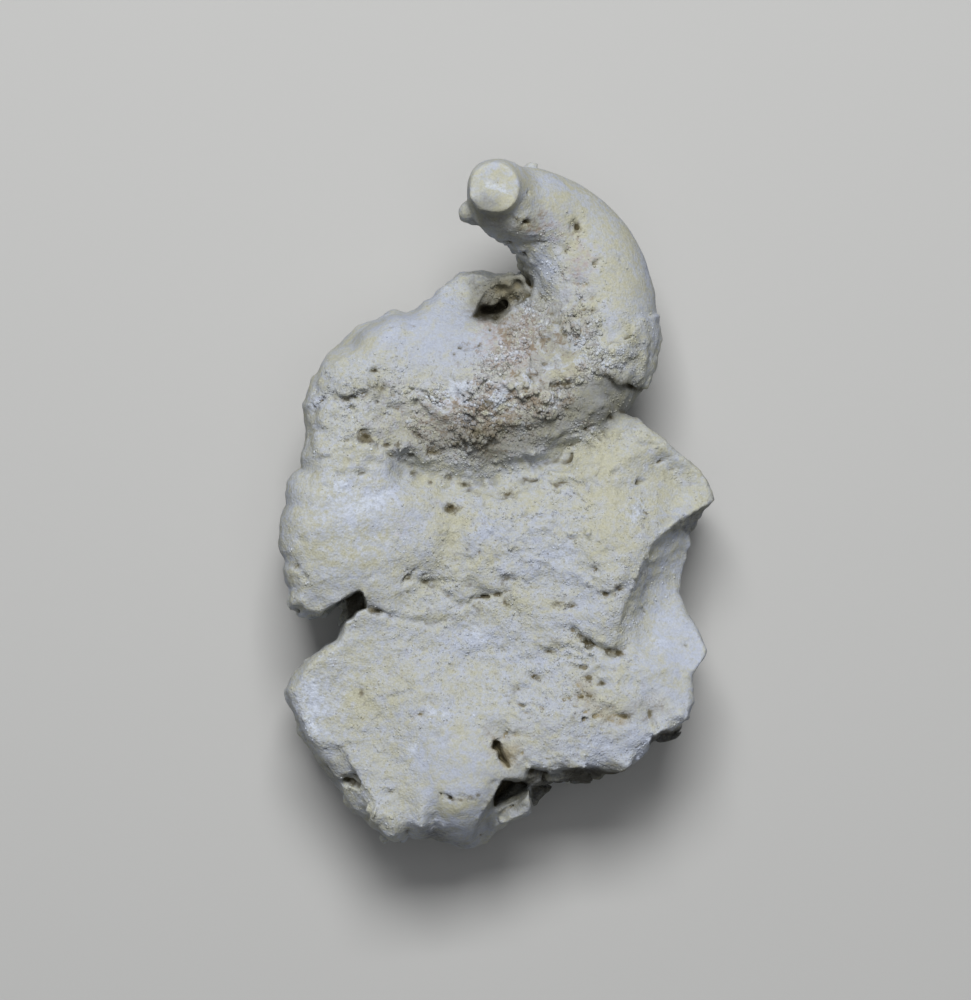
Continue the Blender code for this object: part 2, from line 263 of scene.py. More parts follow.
# a slit opens between the stub and the matrix
slit = polygon([(490, 737), (497, 740), (504, 745), (509, 752), (514, 762), (510, 766), (504, 762), (499, 757), (494, 749)])
slit = slit + 1.0 * noise2(0.7, 18) + 0.7 * noise2(1.2, 39)
H = H - soft(slit, -1.0, 1.0) * np.clip(3.6 - 0.42 * (PX - 493 - 0.45 * (PY - 741)), 0.4, 4.0)
# the scoop: a crisp lip, a steep wall under it that eases out to the right
LIP = [(735, 490), (714, 500), (705, 505), (692, 512), (677, 518), (667, 527), (655, 538), (647, 553), (640, 570),
       (632, 588), (625, 603), (620, 618), (617, 632), (617, 650)]
into = np.maximum(polygon(LIP + [(622, 690), (740, 720)]), 0) * U
into = into + 0.10 * noise2(1.6, 7) * soft(into, 0.0, 0.3) * (1 - soft(PY, 560, 600))
deep = np.interp(PY, [500, 515, 535, 580, 612, 640, 668], [5.5, 8.5, 9.5, 9.0, 6.5, 3.0, 0.0])
H -= deep * (1 - (1 - np.clip(into / 8.2, 0, 1)) ** 1.9)
H -= 1.3 * soft(into, 0, 0.9) * (1 - soft(PY, 575, 640))
# undersides along the lower right edge
UNDER_X = [540, 560, 573, 587, 607, 623, 633, 640, 648, 651, 662, 677, 690]
UNDER_Y = [771, 768, 766, 764, 770, 771, 766, 758, 749, 735, 729, 727, 715]
ragged = 1.3 * noise2(1.3, 19) + 0.9 * noise2(0.7, 20)
beyond(UNDER_X, [y + 1 for y in UNDER_Y], 4.6 + 0.8 * noise2(1.2, 13), 548, 720, 8)
beyond([345, 380, 405, 425, 440], [835, 838, 832, 828, 836], 1.5, 400, 430, 8)
# the hole beside the stub, the ragged rim under it and the recess to its right
level([(529, 786), (548, 784), (556, 789), (547, 798), (539, 806), (530, 812), (529, 803)], 21.0 + 0.6 * noise2(1.4, 9), 2.0)
dent = polygon([(525, 772), (530, 765), (538, 766), (547, 770), (549, 776), (545, 783), (532, 783), (525, 786)]) + ragged
H -= 3.4 * soft(dent, -1.5, 2.0)
into_hole = np.clip(((PX - 514) * 0.49 + (PY - 781) * 0.87) / 19, 0, 1)
hole = polygon([(503, 781), (514, 780), (525, 783), (530, 789), (529, 796), (523, 799), (516, 804), (507, 807), (498, 814),
                (494, 806), (494, 799), (497, 791), (501, 784)]) + 0.5 * ragged
m = soft(hole, -1.2, 1.2)
H = H * (1 - m) + (21.5 + 9.0 * into_hole ** 1.2 + 0.5 * noise2(1.2, 24)) * m
rim = polygon([(497, 815), (507, 808), (516, 804), (523, 799), (529, 795), (531, 803), (530, 812), (524, 816),
               (516, 819), (509, 823), (503, 827), (495, 829)]) + 0.5 * ragged
m = soft(rim, -1.2, 1.2)
H = H * (1 - m) + (29.6 + 0.10 * (PX - 512) - 0.06 * (PY - 806) + 0.22 * noise2(1.1, 10) + 0.10 * noise2(0.6, 55)) * m
# the notch in the left side ends in a dark wedge
notch = polygon([(318, 616), (329, 608), (337, 604), (344.5, 599), (350, 593.6), (355.5, 590), (360, 590), (363.6, 592.7),
                 (365.5, 600), (364.5, 607), (357, 611), (353.6, 615.5), (348, 621), (344.5, 623.6), (341, 628),
                 (334, 626), (324, 621)]) + 0.7 * ragged
m = soft(notch, -1.0, 1.0)
H = H * (1 - m) + (np.interp(PX, [322, 345, 366], [15.0, 18.5, 26.0]) + 0.8 * noise2(1.5, 57)) * m
# a rough facet along the lower left edge
rim_line = [(300, 735), (318, 739), (343, 745), (352, 762), (362, 780), (380, 804)]
facet = polygon(rim_line + [(366, 824), (330, 800), (294, 752)]) + 0.6 * ragged
H -= 0.95 * soft(facet, -0.5, 1.5) * line_distance(rim_line) * U

# the edge turns over gently on the whorls and sharply on broken faces, then the side drops away
turn_over = 2.4 + 2.4 * blob(330, 430, 90, 170) + 1.0 * blob(620, 740, 60, 40)
turn_over += 1.8 * blob(400, 320, 60, 30, -20) + 1.2 * blob(500, 275, 40, 16)
turn_over += 0.7 * np.clip(noise2(9.0, 3), -1.5, 1.5)
turn_over -= 3.0 * blob(325, 606, 40, 16, -10) + 0.9 * blob(320, 660, 40, 22, 30)
turn_over -= 1.8 * blob(690, 470, 34, 50, -40) + 2.2 * blob(702, 640, 18, 90) + 2.0 * blob(512, 816, 20, 12)
turn_over -= 1.0 * blob(320, 770, 30, 40) + 1.4 * blob(640, 752, 26, 22, 35) + 0.8 * blob(590, 780, 40, 14)
turn_over = np.maximum(turn_over, 0.7)
drop = 3.2 + 3.6 * blob(330, 430, 90, 170) + 2.4 * blob(400, 320, 60, 30, -20) + 2.0 * blob(620, 745, 60, 40)
drop += 2.0 * blob(300, 690, 24, 40) - 1.8 * blob(690, 470, 34, 50, -40) - 2.2 * blob(702, 640, 18, 90)
drop = np.clip(drop - 1.5 * blob(512, 816, 20, 12) + 3.0 * blob(455, 846, 40, 10), 1.0, 8.0)
t = np.clip(edge / turn_over, 0, 1)
H = H - drop * (1 - np.sqrt(np.maximum(1 - (1 - t) ** 2, 0))) * soft(H, 21, 27)
gx, gy = np.gradient(H, STEP)
H_slope = np.sqrt(1 + np.minimum(gx * gx + gy * gy, 16)).astype(f32)

# -------------------------------------------------------- the back of the block
am, bm_ = ga[:, None], gb[None, :]
rough = 0.7 * noise2(11.0, 4) + 0.35 * noise2(5.0, 5)
bowl = 3.0 * np.clip((np.hypot(am + 1.0, (bm_ + 12.0) * 0.72) - 15.0) / 14.0, 0, 2) ** 2
t = np.clip(edge / 13.0, 0, 1)
low = RIM
G = low - (low - 0.5 - rough - np.minimum(bowl, 9.0)) * np.sqrt(np.maximum(1 - (1 - t) ** 2, 0))
gx, gy = np.gradient(G, STEP)
G_slope = np.sqrt(1 + np.minimum(gx * gx + gy * gy, 16)).astype(f32)

z3 = gz[None, None, :]
F = (z3 - H[:, :, None]) / H_slope[:, :, None]
np.maximum(F, (G[:, :, None] - z3) / G_slope[:, :, None], out=F)
wall = noise(8.0, 11, (1.0, 1.0, 0.7)) * 1.0 + noise(4.0, 12, (1.0, 1.0, 0.7)) * 0.65
wall += noise(1.9, 56) * 0.30
wall = np.maximum(wall + 0.7, 0)
wall *= (1 - 0.9 * np.clip(1.4 * blob(398, 828, 34, 13) + 1.2 * blob(365, 808, 20, 12), 0, 1)).astype(f32)[:, :, None]
wall *= soft(H[:, :, None] - z3, 1.0, 6.5).astype(f32)
wall -= edge.astype(f32)[:, :, None]
np.maximum(F, wall, out=F)
del wall


# ----------------------------------------------------- local sculpting on the grid
def window(low, high, margin=1.0):
    """Slices of the grid around a box in mm, and its coordinates."""
    out = []
    for g, lo, hi in zip((ga, gb, gz), low, high):
        i = max(int((lo - margin - g[0]) / STEP), 0)
        j = min(int((hi + margin - g[0]) / STEP) + 2, len(g))
        if j <= i:
            return None
        out.append(slice(i, j))
    s = tuple(out)
    return s, ga[s[0]][:, None, None], gb[s[1]][None, :, None], gz[s[2]][None, None, :]


def smin(f, g, k):
    h = np.clip(0.5 + 0.5 * (g - f) / k, 0, 1)
    return g + (f - g) * h - k * h * (1 - h)


def smax(f, g, k):
    return -smin(-f, -g, k)


def ellipsoid(a, b, z, centre, half, turn):
    """Rough signed distance to an ellipsoid turned about Z, then tilted."""
    c, s = math.cos(math.radians(turn)), math.sin(math.radians(turn))
    dx, dy, dz = a - centre[0], b - centre[1], z - centre[2]
    u, v = (c * dx + s * dy) / half[0], (-s * dx + c * dy) / half[1]
    w = dz / half[2]
    r = np.sqrt(u * u + v * v + w * w) + 1e-6
    grad = np.sqrt((u / half[0]) ** 2 + (v / half[1]) ** 2 + (w / half[2]) ** 2) / r + 1e-6
    return (r - 1) / grad


def add_ellipsoid(px, py, z, half, turn=0.0, k=0.6):
    c = (*at(px, py), z)
    m = max(half)
    w = window([v - m for v in c], [v + m for v in c], 2.0)
    s, a, b, zz = w
    F[s] = smin(F[s], ellipsoid(a, b, zz, c, half, turn), k)


def cut_ellipsoid(px, py, z, half, turn=0.0, k=0.4):
    c = (*at(px, py), z)
    m = max(half)
    s, a, b, zz = window([v - m for v in c], [v + m for v in c], 2.0)
    F[s] = smax(F[s], -ellipsoid(a, b, zz, c, half, turn), k)


# ------------------------------------------------------------------- the horn
HORN = np.array([
    (494.5, 188.5, 45.6, 23.4), (495, 187.5, 42.6, 27.0), (498, 190, 39.0, 31.6),
    (505, 199, 35.8, 36.0), (517, 205, 33.0, 38.5), (532, 209, 30.8, 41.0),
    (550, 221, 28.0, 46.0), (566, 239, 25.5, 53.0), (582, 263, 24.5, 58.0),
    (592, 289, 24.0, 60.0), (596, 317, 24.0, 62.0), (592, 345, 24.0, 65.0),
    (578, 368, 24.5, 66.0), (550, 385, 25.0, 68.0), (512, 392, 25.5, 72.5),
    (468, 394, 25.5, 77.5), (428, 388, 23.5, 75.0), (392, 386, 20.0, 66.0),
], float)


def catmull(p, per):
    out = []
    q = np.vstack([2 * p[0] - p[1], p, 2 * p[-1] - p[-2]])
    for i in range(1, len(q) - 2):
        for t in np.linspace(0, 1, per, endpoint=False):
            out.append(0.5 * (2 * q[i] + (q[i + 1] - q[i - 1]) * t
                              + (2 * q[i - 1] - 5 * q[i] + 4 * q[i + 1] - q[i + 2]) * t ** 2
                              + (3 * q[i] - q[i - 1] - 3 * q[i + 1] + q[i + 2]) * t ** 3))
    out.append(q[-2])
    return np.array(out)


path = catmull(HORN, 5)
path = np.column_stack([(path[:, 0] - SX) * U, (SY - path[:, 1]) * U, path[:, 2], path[:, 3] * U])
T = np.full(F.shape, 30.0, f32)                   # distance to the horn's tube
for p, q in zip(path[:-1], path[1:]):
    r = max(p[3], q[3])
    lo = np.minimum(p[:3], q[:3]) - r
    hi = np.maximum(p[:3], q[:3]) + r
    s, a, b, zz = window(lo, hi, 3.0)
    d = q[:3] - p[:3]
    tt = ((a - p[0]) * d[0] + (b - p[1]) * d[1] + (zz - p[2]) * d[2]) / (d @ d)
    tt = np.clip(tt, 0, 1)
    dist = np.sqrt((a - p[0] - tt * d[0]) ** 2 + (b - p[1] - tt * d[1]) ** 2
                   + (zz - p[2] - tt * d[2]) ** 2) - (p[3] + tt * (q[3] - p[3]))
    T[s] = np.minimum(T[s], dist)
# the broken, nearly flat tip
tip = path[0][:3] - np.array([0, 0, 0.4])
facing = np.array([0.02, 0.06, 1.0])
facing /= np.linalg.norm(facing)
s, a, b, zz = window(tip - 9, tip + 9)
T[s] = smax(T[s], (a - tip[0]) * facing[0] + (b - tip[1]) * facing[1] + (zz - tip[2]) * facing[2], 0.35)

blendk = (0.7 + 3.8 * blob(370, 390, 40, 60) + 1.6 * blob(480, 330, 50, 20) + 3.4 * blob(404, 452, 30, 16)).astype(f32)
F = smin(F, T, blendk[:, :, None])

# --------------------------------------------------------------- lumps, hollows
# a patch of shell still stuck on the outside of the horn
flake = polygon([(662, 314), (652, 316), (640, 328), (624, 342), (607, 354), (595, 364),
                 (598, 373), (612, 379), (626, 386), (638, 391), (648, 392), (662, 372)]) * U
flake = flake + noise2(1.9, 31) * 0.30 + noise2(0.8, 32) * 0.24
thick = np.interp(PX, [596, 620, 645, 662], [1.0, 1.2, 1.0, 0.25]).astype(f32) + 0.10 * noise2(0.9, 30) + 0.08 * noise2(1.8, 38)
s_, a_, b_, zz_ = window((at(590, 400)[0], at(590, 400)[1], 12), (at(668, 310)[0], at(668, 310)[1], 42), 1.0)
plate = np.maximum(T[s_] - thick[s_[0], s_[1]][:, :, None], -flake[s_[0], s_[1]][:, :, None])
plate = np.maximum(plate, 20.0 - zz_)
F[s_] = smin(F[s_], plate, 0.15)

coarse_noise = noise(1.9, 33)
fine_noise = noise(0.8, 34)


def rough_cut(px, py, z, half, turn=0.0, k=0.3, coarse=0.25, fine=0.15):
    """An irregular hollow."""
    c = (*at(px, py), z)
    m = max(half)
    s, a, b, zz = window([v - m for v in c], [v + m for v in c], 2.0)
    g = ellipsoid(a, b, zz, c, half, turn) + coarse * coarse_noise[s] + fine * fine_noise[s]
    F[s] = smax(F[s], -g, k)


rough_cut(686, 524, 35.5, (2.6, 1.0, 5.0), 32, 0.5, 0.35, 0.20)     # broken wall over the scoop
rough_cut(668, 738, 28.0, (2.6, 1.5, 6.5), 25, 0.3)                 # side recess
rough_cut(350, 781, 32.0, (1.8, 0.8, 2.2), -20, 0.2)                # crevice on the broken corner
add_ellipsoid(466, 211, 34.5, (1.5, 1.8, 2.6), 0, 0.5)              # knob by the tip
add_ellipsoid(474, 219, 33.5, (0.9, 0.9, 1.6), 0, 0.4)

# --------------------------------------------------------------- surface texture
front = soft(gz, 16.0, 24.0)[None, None, :]
smooth2 = np.clip(
    0.9 * blob(622, 262, 34, 78, 12) + 0.9 * blob(566, 192, 60, 24, -24)
    + 0.65 * blob(440, 332, 52, 24, 0) + 0.6 * blob(350, 525, 50, 52) + 0.5 * blob(345, 350, 40, 22)
    + 0.65 * blob(668, 590, 22, 70, -10) + 0.7 * blob(680, 670, 22, 30) + 1.0 * blob(462, 765, 34, 34)
    + 0.6 * blob(460, 820, 28, 24) + 1.0 * blob(495, 186, 24, 24) + 0.5 * blob(600, 405, 26, 20)
    + 0.35 * blob(650, 475, 50, 34) + 0.5 * blob(548, 262, 20, 36, 10), 0, 1).astype(f32)
druse2 = np.clip(
    1.0 * blob(474, 416, 54, 30, 10) + 1.0 * blob(530, 382, 48, 38)
    + 0.95 * blob(560, 330, 26, 27, 16) + 0.75 * blob(518, 317, 24, 8, 28) + 0.42 * blob(396, 410, 26, 30) + 0.14 * blob(356, 400, 26, 24)
    + 0.10 * blob(550, 245, 14, 26, 10) + 0.25 * blob(520, 228, 18, 8, -40), 0, 1)
frost2 = np.clip(0.35 * blob(545, 242, 18, 26, 10) + 0.5 * blob(572, 285, 20, 24) + 1.6 * blob(638, 352, 20, 28, -30)
                 + 0.9 * blob(504, 288, 26, 12, -18) + 0.5 * blob(503, 321, 16, 4, -12)
                 + 0.5 * blob(420, 395, 40, 26) + 0.25 * blob(590, 340, 18, 30), 0, 1.6)
druse2 *= 1 - 0.7 * blob(541, 275, 9, 26, 10)
druse2 = (druse2 * (1 - 0.8 * blob(448, 335, 40, 22)) * (1 - 0.7 * blob(600, 400, 28, 18, 20))).astype(f32)
rough2 = np.clip(0.20 + 0.45 * blob(560, 650, 80, 60) + 0.40 * blob(470, 655, 60, 60) + 0.95 * blob(575, 590, 80, 110) + 0.8 * blob(590, 474, 90, 36) + 0.75 * blob(570, 715, 90, 45)
                 + 0.5 * blob(480, 560, 50, 60) + 1.0 * blob(358, 416, 46, 46) + 0.6 * blob(385, 812, 46, 26)
                 + 0.7 * blob(508, 292, 24, 18) + 0.7 * blob(640, 350, 26, 40) + 0.5 * blob(684, 523, 16, 9, 30)
                 + 0.4 * blob(300, 580, 24, 36) + 0.5 * blob(675, 715, 24, 16), 0, 1).astype(f32)
plain2 = np.clip(1 - 0.85 * smooth2, 0, 1) * (0.30 + 0.70 * rough2)

torn = 0.20 * blob(512, 248, 26, 22, -45) + 0.15 * blob(515, 285, 18, 10) + 0.24 * blob(500, 289, 26, 13, -18) + 0.35 * blob(620, 378, 30, 9, -20)
torn += 0.25 * blob(300, 604, 30, 12) + 0.30 * blob(390, 825, 40, 16) + 0.60 * blob(690, 519, 15, 8, 35)
torn += 0.34 * blob(590, 775, 50, 9) + 0.20 * blob(670, 730, 24, 10, 20) + 0.20 * blob(515, 805, 20, 16)
torn += 0.35 * blob(538, 774, 12, 9) + 0.16 * blob(508, 290, 20, 12, 10) + 0.22 * blob(338, 775, 20, 24, -38)
torn += 0.13 * blob(642, 352, 20, 30, -30) + 0.13 * blob(486, 192, 18, 26) + 0.16 * blob(470, 213, 9, 11)
jagged = 0.26 * blob(498, 240, 22, 10, -30) + 0.20 * blob(520, 258, 12, 12)
jagged = jagged[:, :, None] * (1 - soft(gz, 31.0, 37.0))[None, None, :].astype(f32)
amp = (0.178 * plain2 + 0.17 * druse2 + torn)[:, :, None] * front + 0.34 * (1 - front)
detail = noise(3.4, 21) * 0.75
detail += coarse_noise * 0.75
detail += noise(0.95, 23) * 0.34
F -= amp * detail
# creases between the grains of the broken matrix
detail = 0.7 - np.abs(noise(2.3, 25, (1.5, 0.8, 1.0)))
detail += 0.45 * (0.7 - np.abs(noise(1.1, 26, (1.4, 0.8, 1.0))))
F -= (0.15 * plain2 + 0.04 * druse2 + 0.02)[:, :, None] * (0.35 + 0.65 * front) * detail
# open crevices where two slow fields are both low
detail = noise(1.5, 35, (1.8, 0.75, 1.0)) + 0.35 * fine_noise
patchy = soft(noise2(5.0, 36), -0.5, 1.3) * (0.05 + 0.85 * plain2 + 0.35 * druse2)
F += 0.68 * patchy[:, :, None] * np.clip(detail - 1.35, 0, 1.2) * front
# little overhanging ledges, facing the foot
warp = noise2(6.0, 27) * 1.3 + noise2(2.6, 28) * 0.8
ledge = (gb[None, :] * 0.42 + 0.10 * ga[:, None] + warp)
ledge = (ledge - np.floor(ledge))
ledge = np.where(ledge < 0.82, ledge / 0.82, (1 - ledge) / 0.18)
ledge_here = plain2 * np.clip(blob(570, 600, 90, 110) + 0.6 * blob(350, 400, 40, 40) + 0.7 * blob(590, 460, 80, 30), 0, 1)
ledge_here = ledge_here * soft(noise2(3.8, 29), -0.4, 0.9)
F += (0.54 * ledge_here * (1 - ledge - 0.5))[:, :, None].astype(f32) * front
F -= ((0.018 * (1 - 0.6 * smooth2) + 0.04 * druse2 + 0.20 * blob(503, 288, 27, 13, -18)
       + 0.11 * blob(642, 352, 20, 30, -30))[:, :, None] + jagged) * fine_noise
del jagged
del detail


# --------------------------------------------------------------- pits and grains
def top_of(px, py):
    """Height of the outermost surface at a point of the plan."""
    i = int(round(((px - SX) * U - ga[0]) / STEP))
    j = int(round(((SY - py) * U - gb[0]) / STEP))
    if not (0 <= i < NA and 0 <= j < NB):
        return None
    col = F[i, j]
    k = np.nonzero(col < 0)[0]
    if len(k) == 0:
        return None
    k = k[-1]
    if k + 1 >= NZ:
        return None
    return float(gz[k] + STEP * col[k] / (col[k] - col[k + 1]))


def stamp(c, radius, turned, half, power, cut, k, uneven=0.22):
    """Adds or cuts one small grain: a ball, or a faceted crystal with power 1."""
    w = window(c - radius, c + radius, STEP * 2)
    if w is None:
        return
    s, a, b, z = w
    d = np.stack(np.broadcast_arrays(a - c[0], b - c[1], z - c[2]), -1) @ turned.T / half
    if power == 1:
        q = np.abs(d).sum(-1) * 0.62
        r = np.maximum(q, np.abs(d).max(-1))
    else:
        r = np.sqrt((d * d).sum(-1)) + uneven * (fine_noise[s] + coarse_noise[s])
    g = ((r - 1) * half.min()).astype(f32)
    F[s] = smax(F[s], -g, k) if cut else smin(F[s], g, k)


def turn_z(deg):
    c, s = math.cos(math.radians(deg)), math.sin(math.radians(deg))
    return np.array([[c, s, 0], [-s, c, 0], [0, 0, 1.0]])


rng = np.random.default_rng(5)


def spin():
    q = rng.standard_normal(4)
    q /= np.linalg.norm(q)
    w, x, y, z = q
    return np.array([[1 - 2 * (y * y + z * z), 2 * (x * y - z * w), 2 * (x * z + y * w)],
                     [2 * (x * y + z * w), 1 - 2 * (x * x + z * z), 2 * (y * z - x * w)],
                     [2 * (x * z - y * w), 2 * (y * z + x * w), 1 - 2 * (x * x + y * y)]])


LUMPS = [   # rubble along the broken edges: x, y, height, radius in mm
    (501, 822, 28.3, 0.45), (510, 818, 28.8, 0.35), (523, 810, 29.6, 0.4), (428, 822, 29, 0.6), (424, 826, 27.5, 0.5), (431, 826, 28, 0.4),
    (500, 237, 32, 0.6), (506, 243, 32, 0.5), (388, 829, 25, 1.3), (400, 834, 23, 1.2), (378, 818, 28, 1.4), (394, 818, 30, 1.2), (408, 812, 31, 1.2),
    (417, 822, 28, 1.0), (426, 823, 27, 0.7), (412, 828, 25, 0.9), (365, 806, 29, 1.2), (352, 796, 28, 1.0),
    (370, 812, 26, 0.8), (384, 838, 23, 0.7), (549, 776, 30, 0.8), (556, 776, 30, 0.8), (516, 777, 31, 0.9), (521, 775, 31, 0.7),
    (536, 780, 28, 0.8), (528, 781, 28, 0.6),
    (661, 729, 31, 0.7), (669, 727, 31, 0.8), (677, 722, 31, 0.7),
    (684, 715, 31, 0.8), (530, 166, 31.5, 0.55), (534, 166, 31.5, 0.5), (448, 796, 36.6, 0.35),
    (476, 796, 36.2, 0.32), (457, 797, 36.8, 0.25), (512, 278, 31, 0.6), (524, 281, 31, 0.7), (504, 284, 31, 0.5), (528, 290, 31, 0.6),
    (298, 606, 30, 0.8), (308, 612, 30, 0.8), (316, 612, 30, 0.6)]
for px, py, z, r in LUMPS:
    half = np.array([r * 1.5, r * 1.0, r * 1.1])
    stamp(np.array([*at(px, py), z]), r * 2.2, spin(), half, 1, False, 0.4 if r > 0.55 else 0.12)

PITS = [   # x, y, half length, half height in pixels, turn, depth in mm
    (366, 436, 7, 4, -15, 1.5), (346, 399, 8, 2.0, 0, 0.45), (383, 388, 4, 3.2, 0, 1.0),
    (378, 402, 2.2, 2.2, 0, 0.8), (452, 507, 5.5, 3.8, 10, 1.6), (508, 494, 7, 4, 0, 1.3), (527, 480, 8, 2.0, -5, 0.8),
    (560, 483, 9, 1.8, 8, 0.8), (643, 481, 7, 2, 12, 0.6), (646, 513, 4, 2.5, -30, 0.8),
    (295, 567, 4.5, 2.5, -30, 1.3), (408, 579, 5, 2.2, 20, 0.55), (473, 584, 5.5, 3.4, -20, 1.1), (507, 580, 7, 3, 0, 0.8),
    (482, 597, 9, 2, 8, 0.9), (504, 603, 1.3, 5, 30, 1.2), (377, 611, 7, 2.8, -12, 2.0),
    (606, 552, 6, 3.2, 10, 0.55), (530, 568, 3, 2.2, 0, 0.5), (556, 605, 6, 2.6, 0, 0.9),
    (572, 606, 6, 2.4, 20, 1.0), (620, 590, 4, 2, 15, 0.9), (535, 677, 6, 3.0, -10, 1.1),
    (588, 678, 4.5, 3, 0, 1.1), (579, 698, 4.6, 4.0, 0, 1.5), (591, 696, 4.8, 4.2, 0, 1.5),
    (602, 683, 4, 2, -20, 0.9), (610, 708, 4, 1.8, 20, 0.45), (626, 717, 4, 2.6, -10, 1.0),
    (518, 689, 7, 2.8, 10, 0.9), (361, 690, 4, 2.4, 20, 0.5), (366, 700, 1.8, 7, 25, 0.6),
    (348, 780, 7, 3.4, -15, 1.6), (389, 792, 4, 2, 0, 0.8), (420, 714, 3, 2, 0, 0.6),
    (577, 228, 4.6, 4.8, 0, 1.2), (565, 251, 3.4, 3.4, 0, 0.9), (577, 284, 6, 2.4, 0, 0.8),
    (590, 310, 5, 3, -20, 0.9), (553, 322, 5, 2.6, 20, 0.9), (513, 331, 5, 3.4, 0, 1.1), (466, 346, 3.2, 2.6, 0, 0.7), (479, 345, 2.8, 2.4, 0, 0.8),
    (375, 371, 4, 1.8, 0, 0.8), (334, 419, 3.4, 2, -10, 0.6), (346, 421, 3.4, 2, 0, 0.6), (385, 445, 4.5, 2.2, 0, 0.9),
    (397, 443, 3.4, 2.4, 30, 0.9), (392, 451, 2.4, 1.8, 0, 0.6), (409, 456, 4, 2, 20, 0.7), (414, 473, 3.4, 1.8, 0, 0.8),
    (545, 339, 8, 2.2, 0, 1.0), (497, 352, 3.4, 2.4, 0, 0.8), (514, 374, 5, 2.6, -20, 0.5),
    (566, 384, 16, 2.2, 8, 1.1), (488, 402, 5, 4, 0, 1.3), (478, 434, 5, 4, 0, 1.2),
    (458, 447, 4, 3, 0, 1.0), (434, 452, 6, 3, 10, 1.1), (500, 415, 5, 3, 0, 1.0),
    (590, 432, 7, 2.4, -25, 1.0), (612, 418, 3, 2.4, 0, 0.8),
    (585, 642, 5, 2.6, -20, 0.9), (617, 652, 4, 2.4, 0, 0.9),
    (549, 652, 6, 2.2, 0, 1.0), (498, 182, 1.4, 1.4, 0, 0.5), (526, 222, 9, 2.6, -25, 1.1),
    (536, 238, 4, 3, 0, 0.9), (640, 575, 3, 3, 0, 0.5), (603, 595, 5.5, 3, 0, 0.9),
    (465, 485, 5, 3, 0, 0.9), (448, 478, 4, 3, 0, 0.9), (432, 482, 3, 2, 0, 0.7),
    (441, 794, 1.8, 1.2, 0, 0.5), (446, 795, 2.2, 1.2, 20, 0.5), (451, 798, 2.6, 1.8, -30, 0.8), (457, 800, 2.4, 1.3, 0, 0.8),
    (464, 797, 4.4, 2.4, 8, 1.6), (474, 799, 2.2, 1.2, 10, 0.7), (478, 795, 1.2, 2.0, 0, 0.6), (481, 835, 1.6, 1.4, 0, 0.8),
]
for px, py, rx, ry, turn, depth in PITS:
    z = top_of(px, py)
    if z is not None:
        c = np.array([*at(px, py), z])
        if rx > 2.7:
            half = np.array([rx * U * 1.35, ry * U * 1.45, 0.40 * depth])
            stamp(c, max(half) + 0.3, turn_z(turn), half, 2, True, 0.6, 0.16 if rx > 5 else 0.3)
        half = np.array([rx * U * 0.72, ry * U * 0.72, 0.85 * depth])
        stamp(c, max(half) + 0.3, turn_z(turn), half, 2, True, 0.25 if rx > 2.7 else 0.15, 0.16 if rx > 5 else 0.28)



def scatter(mask, count, jitter=0.5):
    """Random spots of the plan, as many per area as the mask says."""
    w = mask.ravel() / mask.sum()
    pick = rng.choice(w.size, count, p=w)
    i, j = np.unravel_index(pick, mask.shape)
    return ga[i] + (rng.random(count) - 0.5) * STEP, gb[j] + (rng.random(count) - 0.5) * STEP


def surface_spots(mask, count):
    a, b = scatter(mask, count)
    for x, y in zip(a, b):
        z = top_of(SX + x / U, SY - y / U)
        if z is not None and z > 14:
            yield np.array([x, y, z])


inside2 = (edge > 0.6) | (T[:, :, int(24 / STEP)] < -0.5)
pit2 = inside2 * (0.06 + 0.9 * plain2 ** 2 + 0.5 * druse2)
pit2 = pit2 * soft(noise2(4.5, 41), -0.6, 1.2)
for c in surface_spots(pit2, 1400):
    r = 0.14 + 0.22 * rng.random() ** 2.2
    half = np.array([r * (1.4 + 2.0 * rng.random()), r, r * 0.8])
    stamp(c, max(half) + 0.1, turn_z(rng.normal(0, 35)), half, 2, True, 0.15)
lumps = inside2 * druse2
lump_here = lumps ** 2.4 * (H_slope < 1.8) * soft(noise2(4.0, 53), -0.6, 1.0) * (1 - 0.8 * soft(PY, 440, 465))
for c in surface_spots(lump_here, 1000):
    r = 0.24 + 0.46 * rng.random() ** 2.0
    half = np.array([r, r * (0.7 + 0.5 * rng.random()), r * (0.6 + 0.4 * rng.random())])
    c[2] -= 0.15 * r
    stamp(c, max(half) * 1.6, spin(), half, 1, False, 0.10)
for c in surface_spots(inside2 * plain2 ** 2, 900):
    r = 0.20 + 0.30 * rng.random() ** 2
    half = np.array([r * 1.3, r, r])
    c[2] -= 0.15
    stamp(c, max(half) * 1.4, spin(), half, 1, False, 0.10)

np.maximum(F, (BASE - gz)[None, None, :], out=F)


# ------------------------------------------------------------------ the surface
def blur(x, reach):
    """Box average over a cube of that half size in mm."""
    r = max(int(round(reach / STEP)), 1)
    for axis in range(3):
        pad = [(0, 0)] * 3
        pad[axis] = (r + 1, r)
        c = np.cumsum(np.pad(x, pad, mode='edge'), axis=axis, dtype=f32)
        n = x.shape[axis]
        hi = [slice(None)] * 3
        lo = [slice(None)] * 3
        hi[axis], lo[axis] = slice(2 * r + 1, 2 * r + 1 + n), slice(0, n)
        x = (c[tuple(hi)] - c[tuple(lo)]) / (2 * r + 1)
    return x


# thin slivers that the noise leaves along the silhouette break off
sliver = (blur((F < 0).astype(f32), 0.6) < 0.30) & (F < 0) & (edge < 1.5)[:, :, None] & (z3 < 31)
F[sliver] = 0.05
del sliver


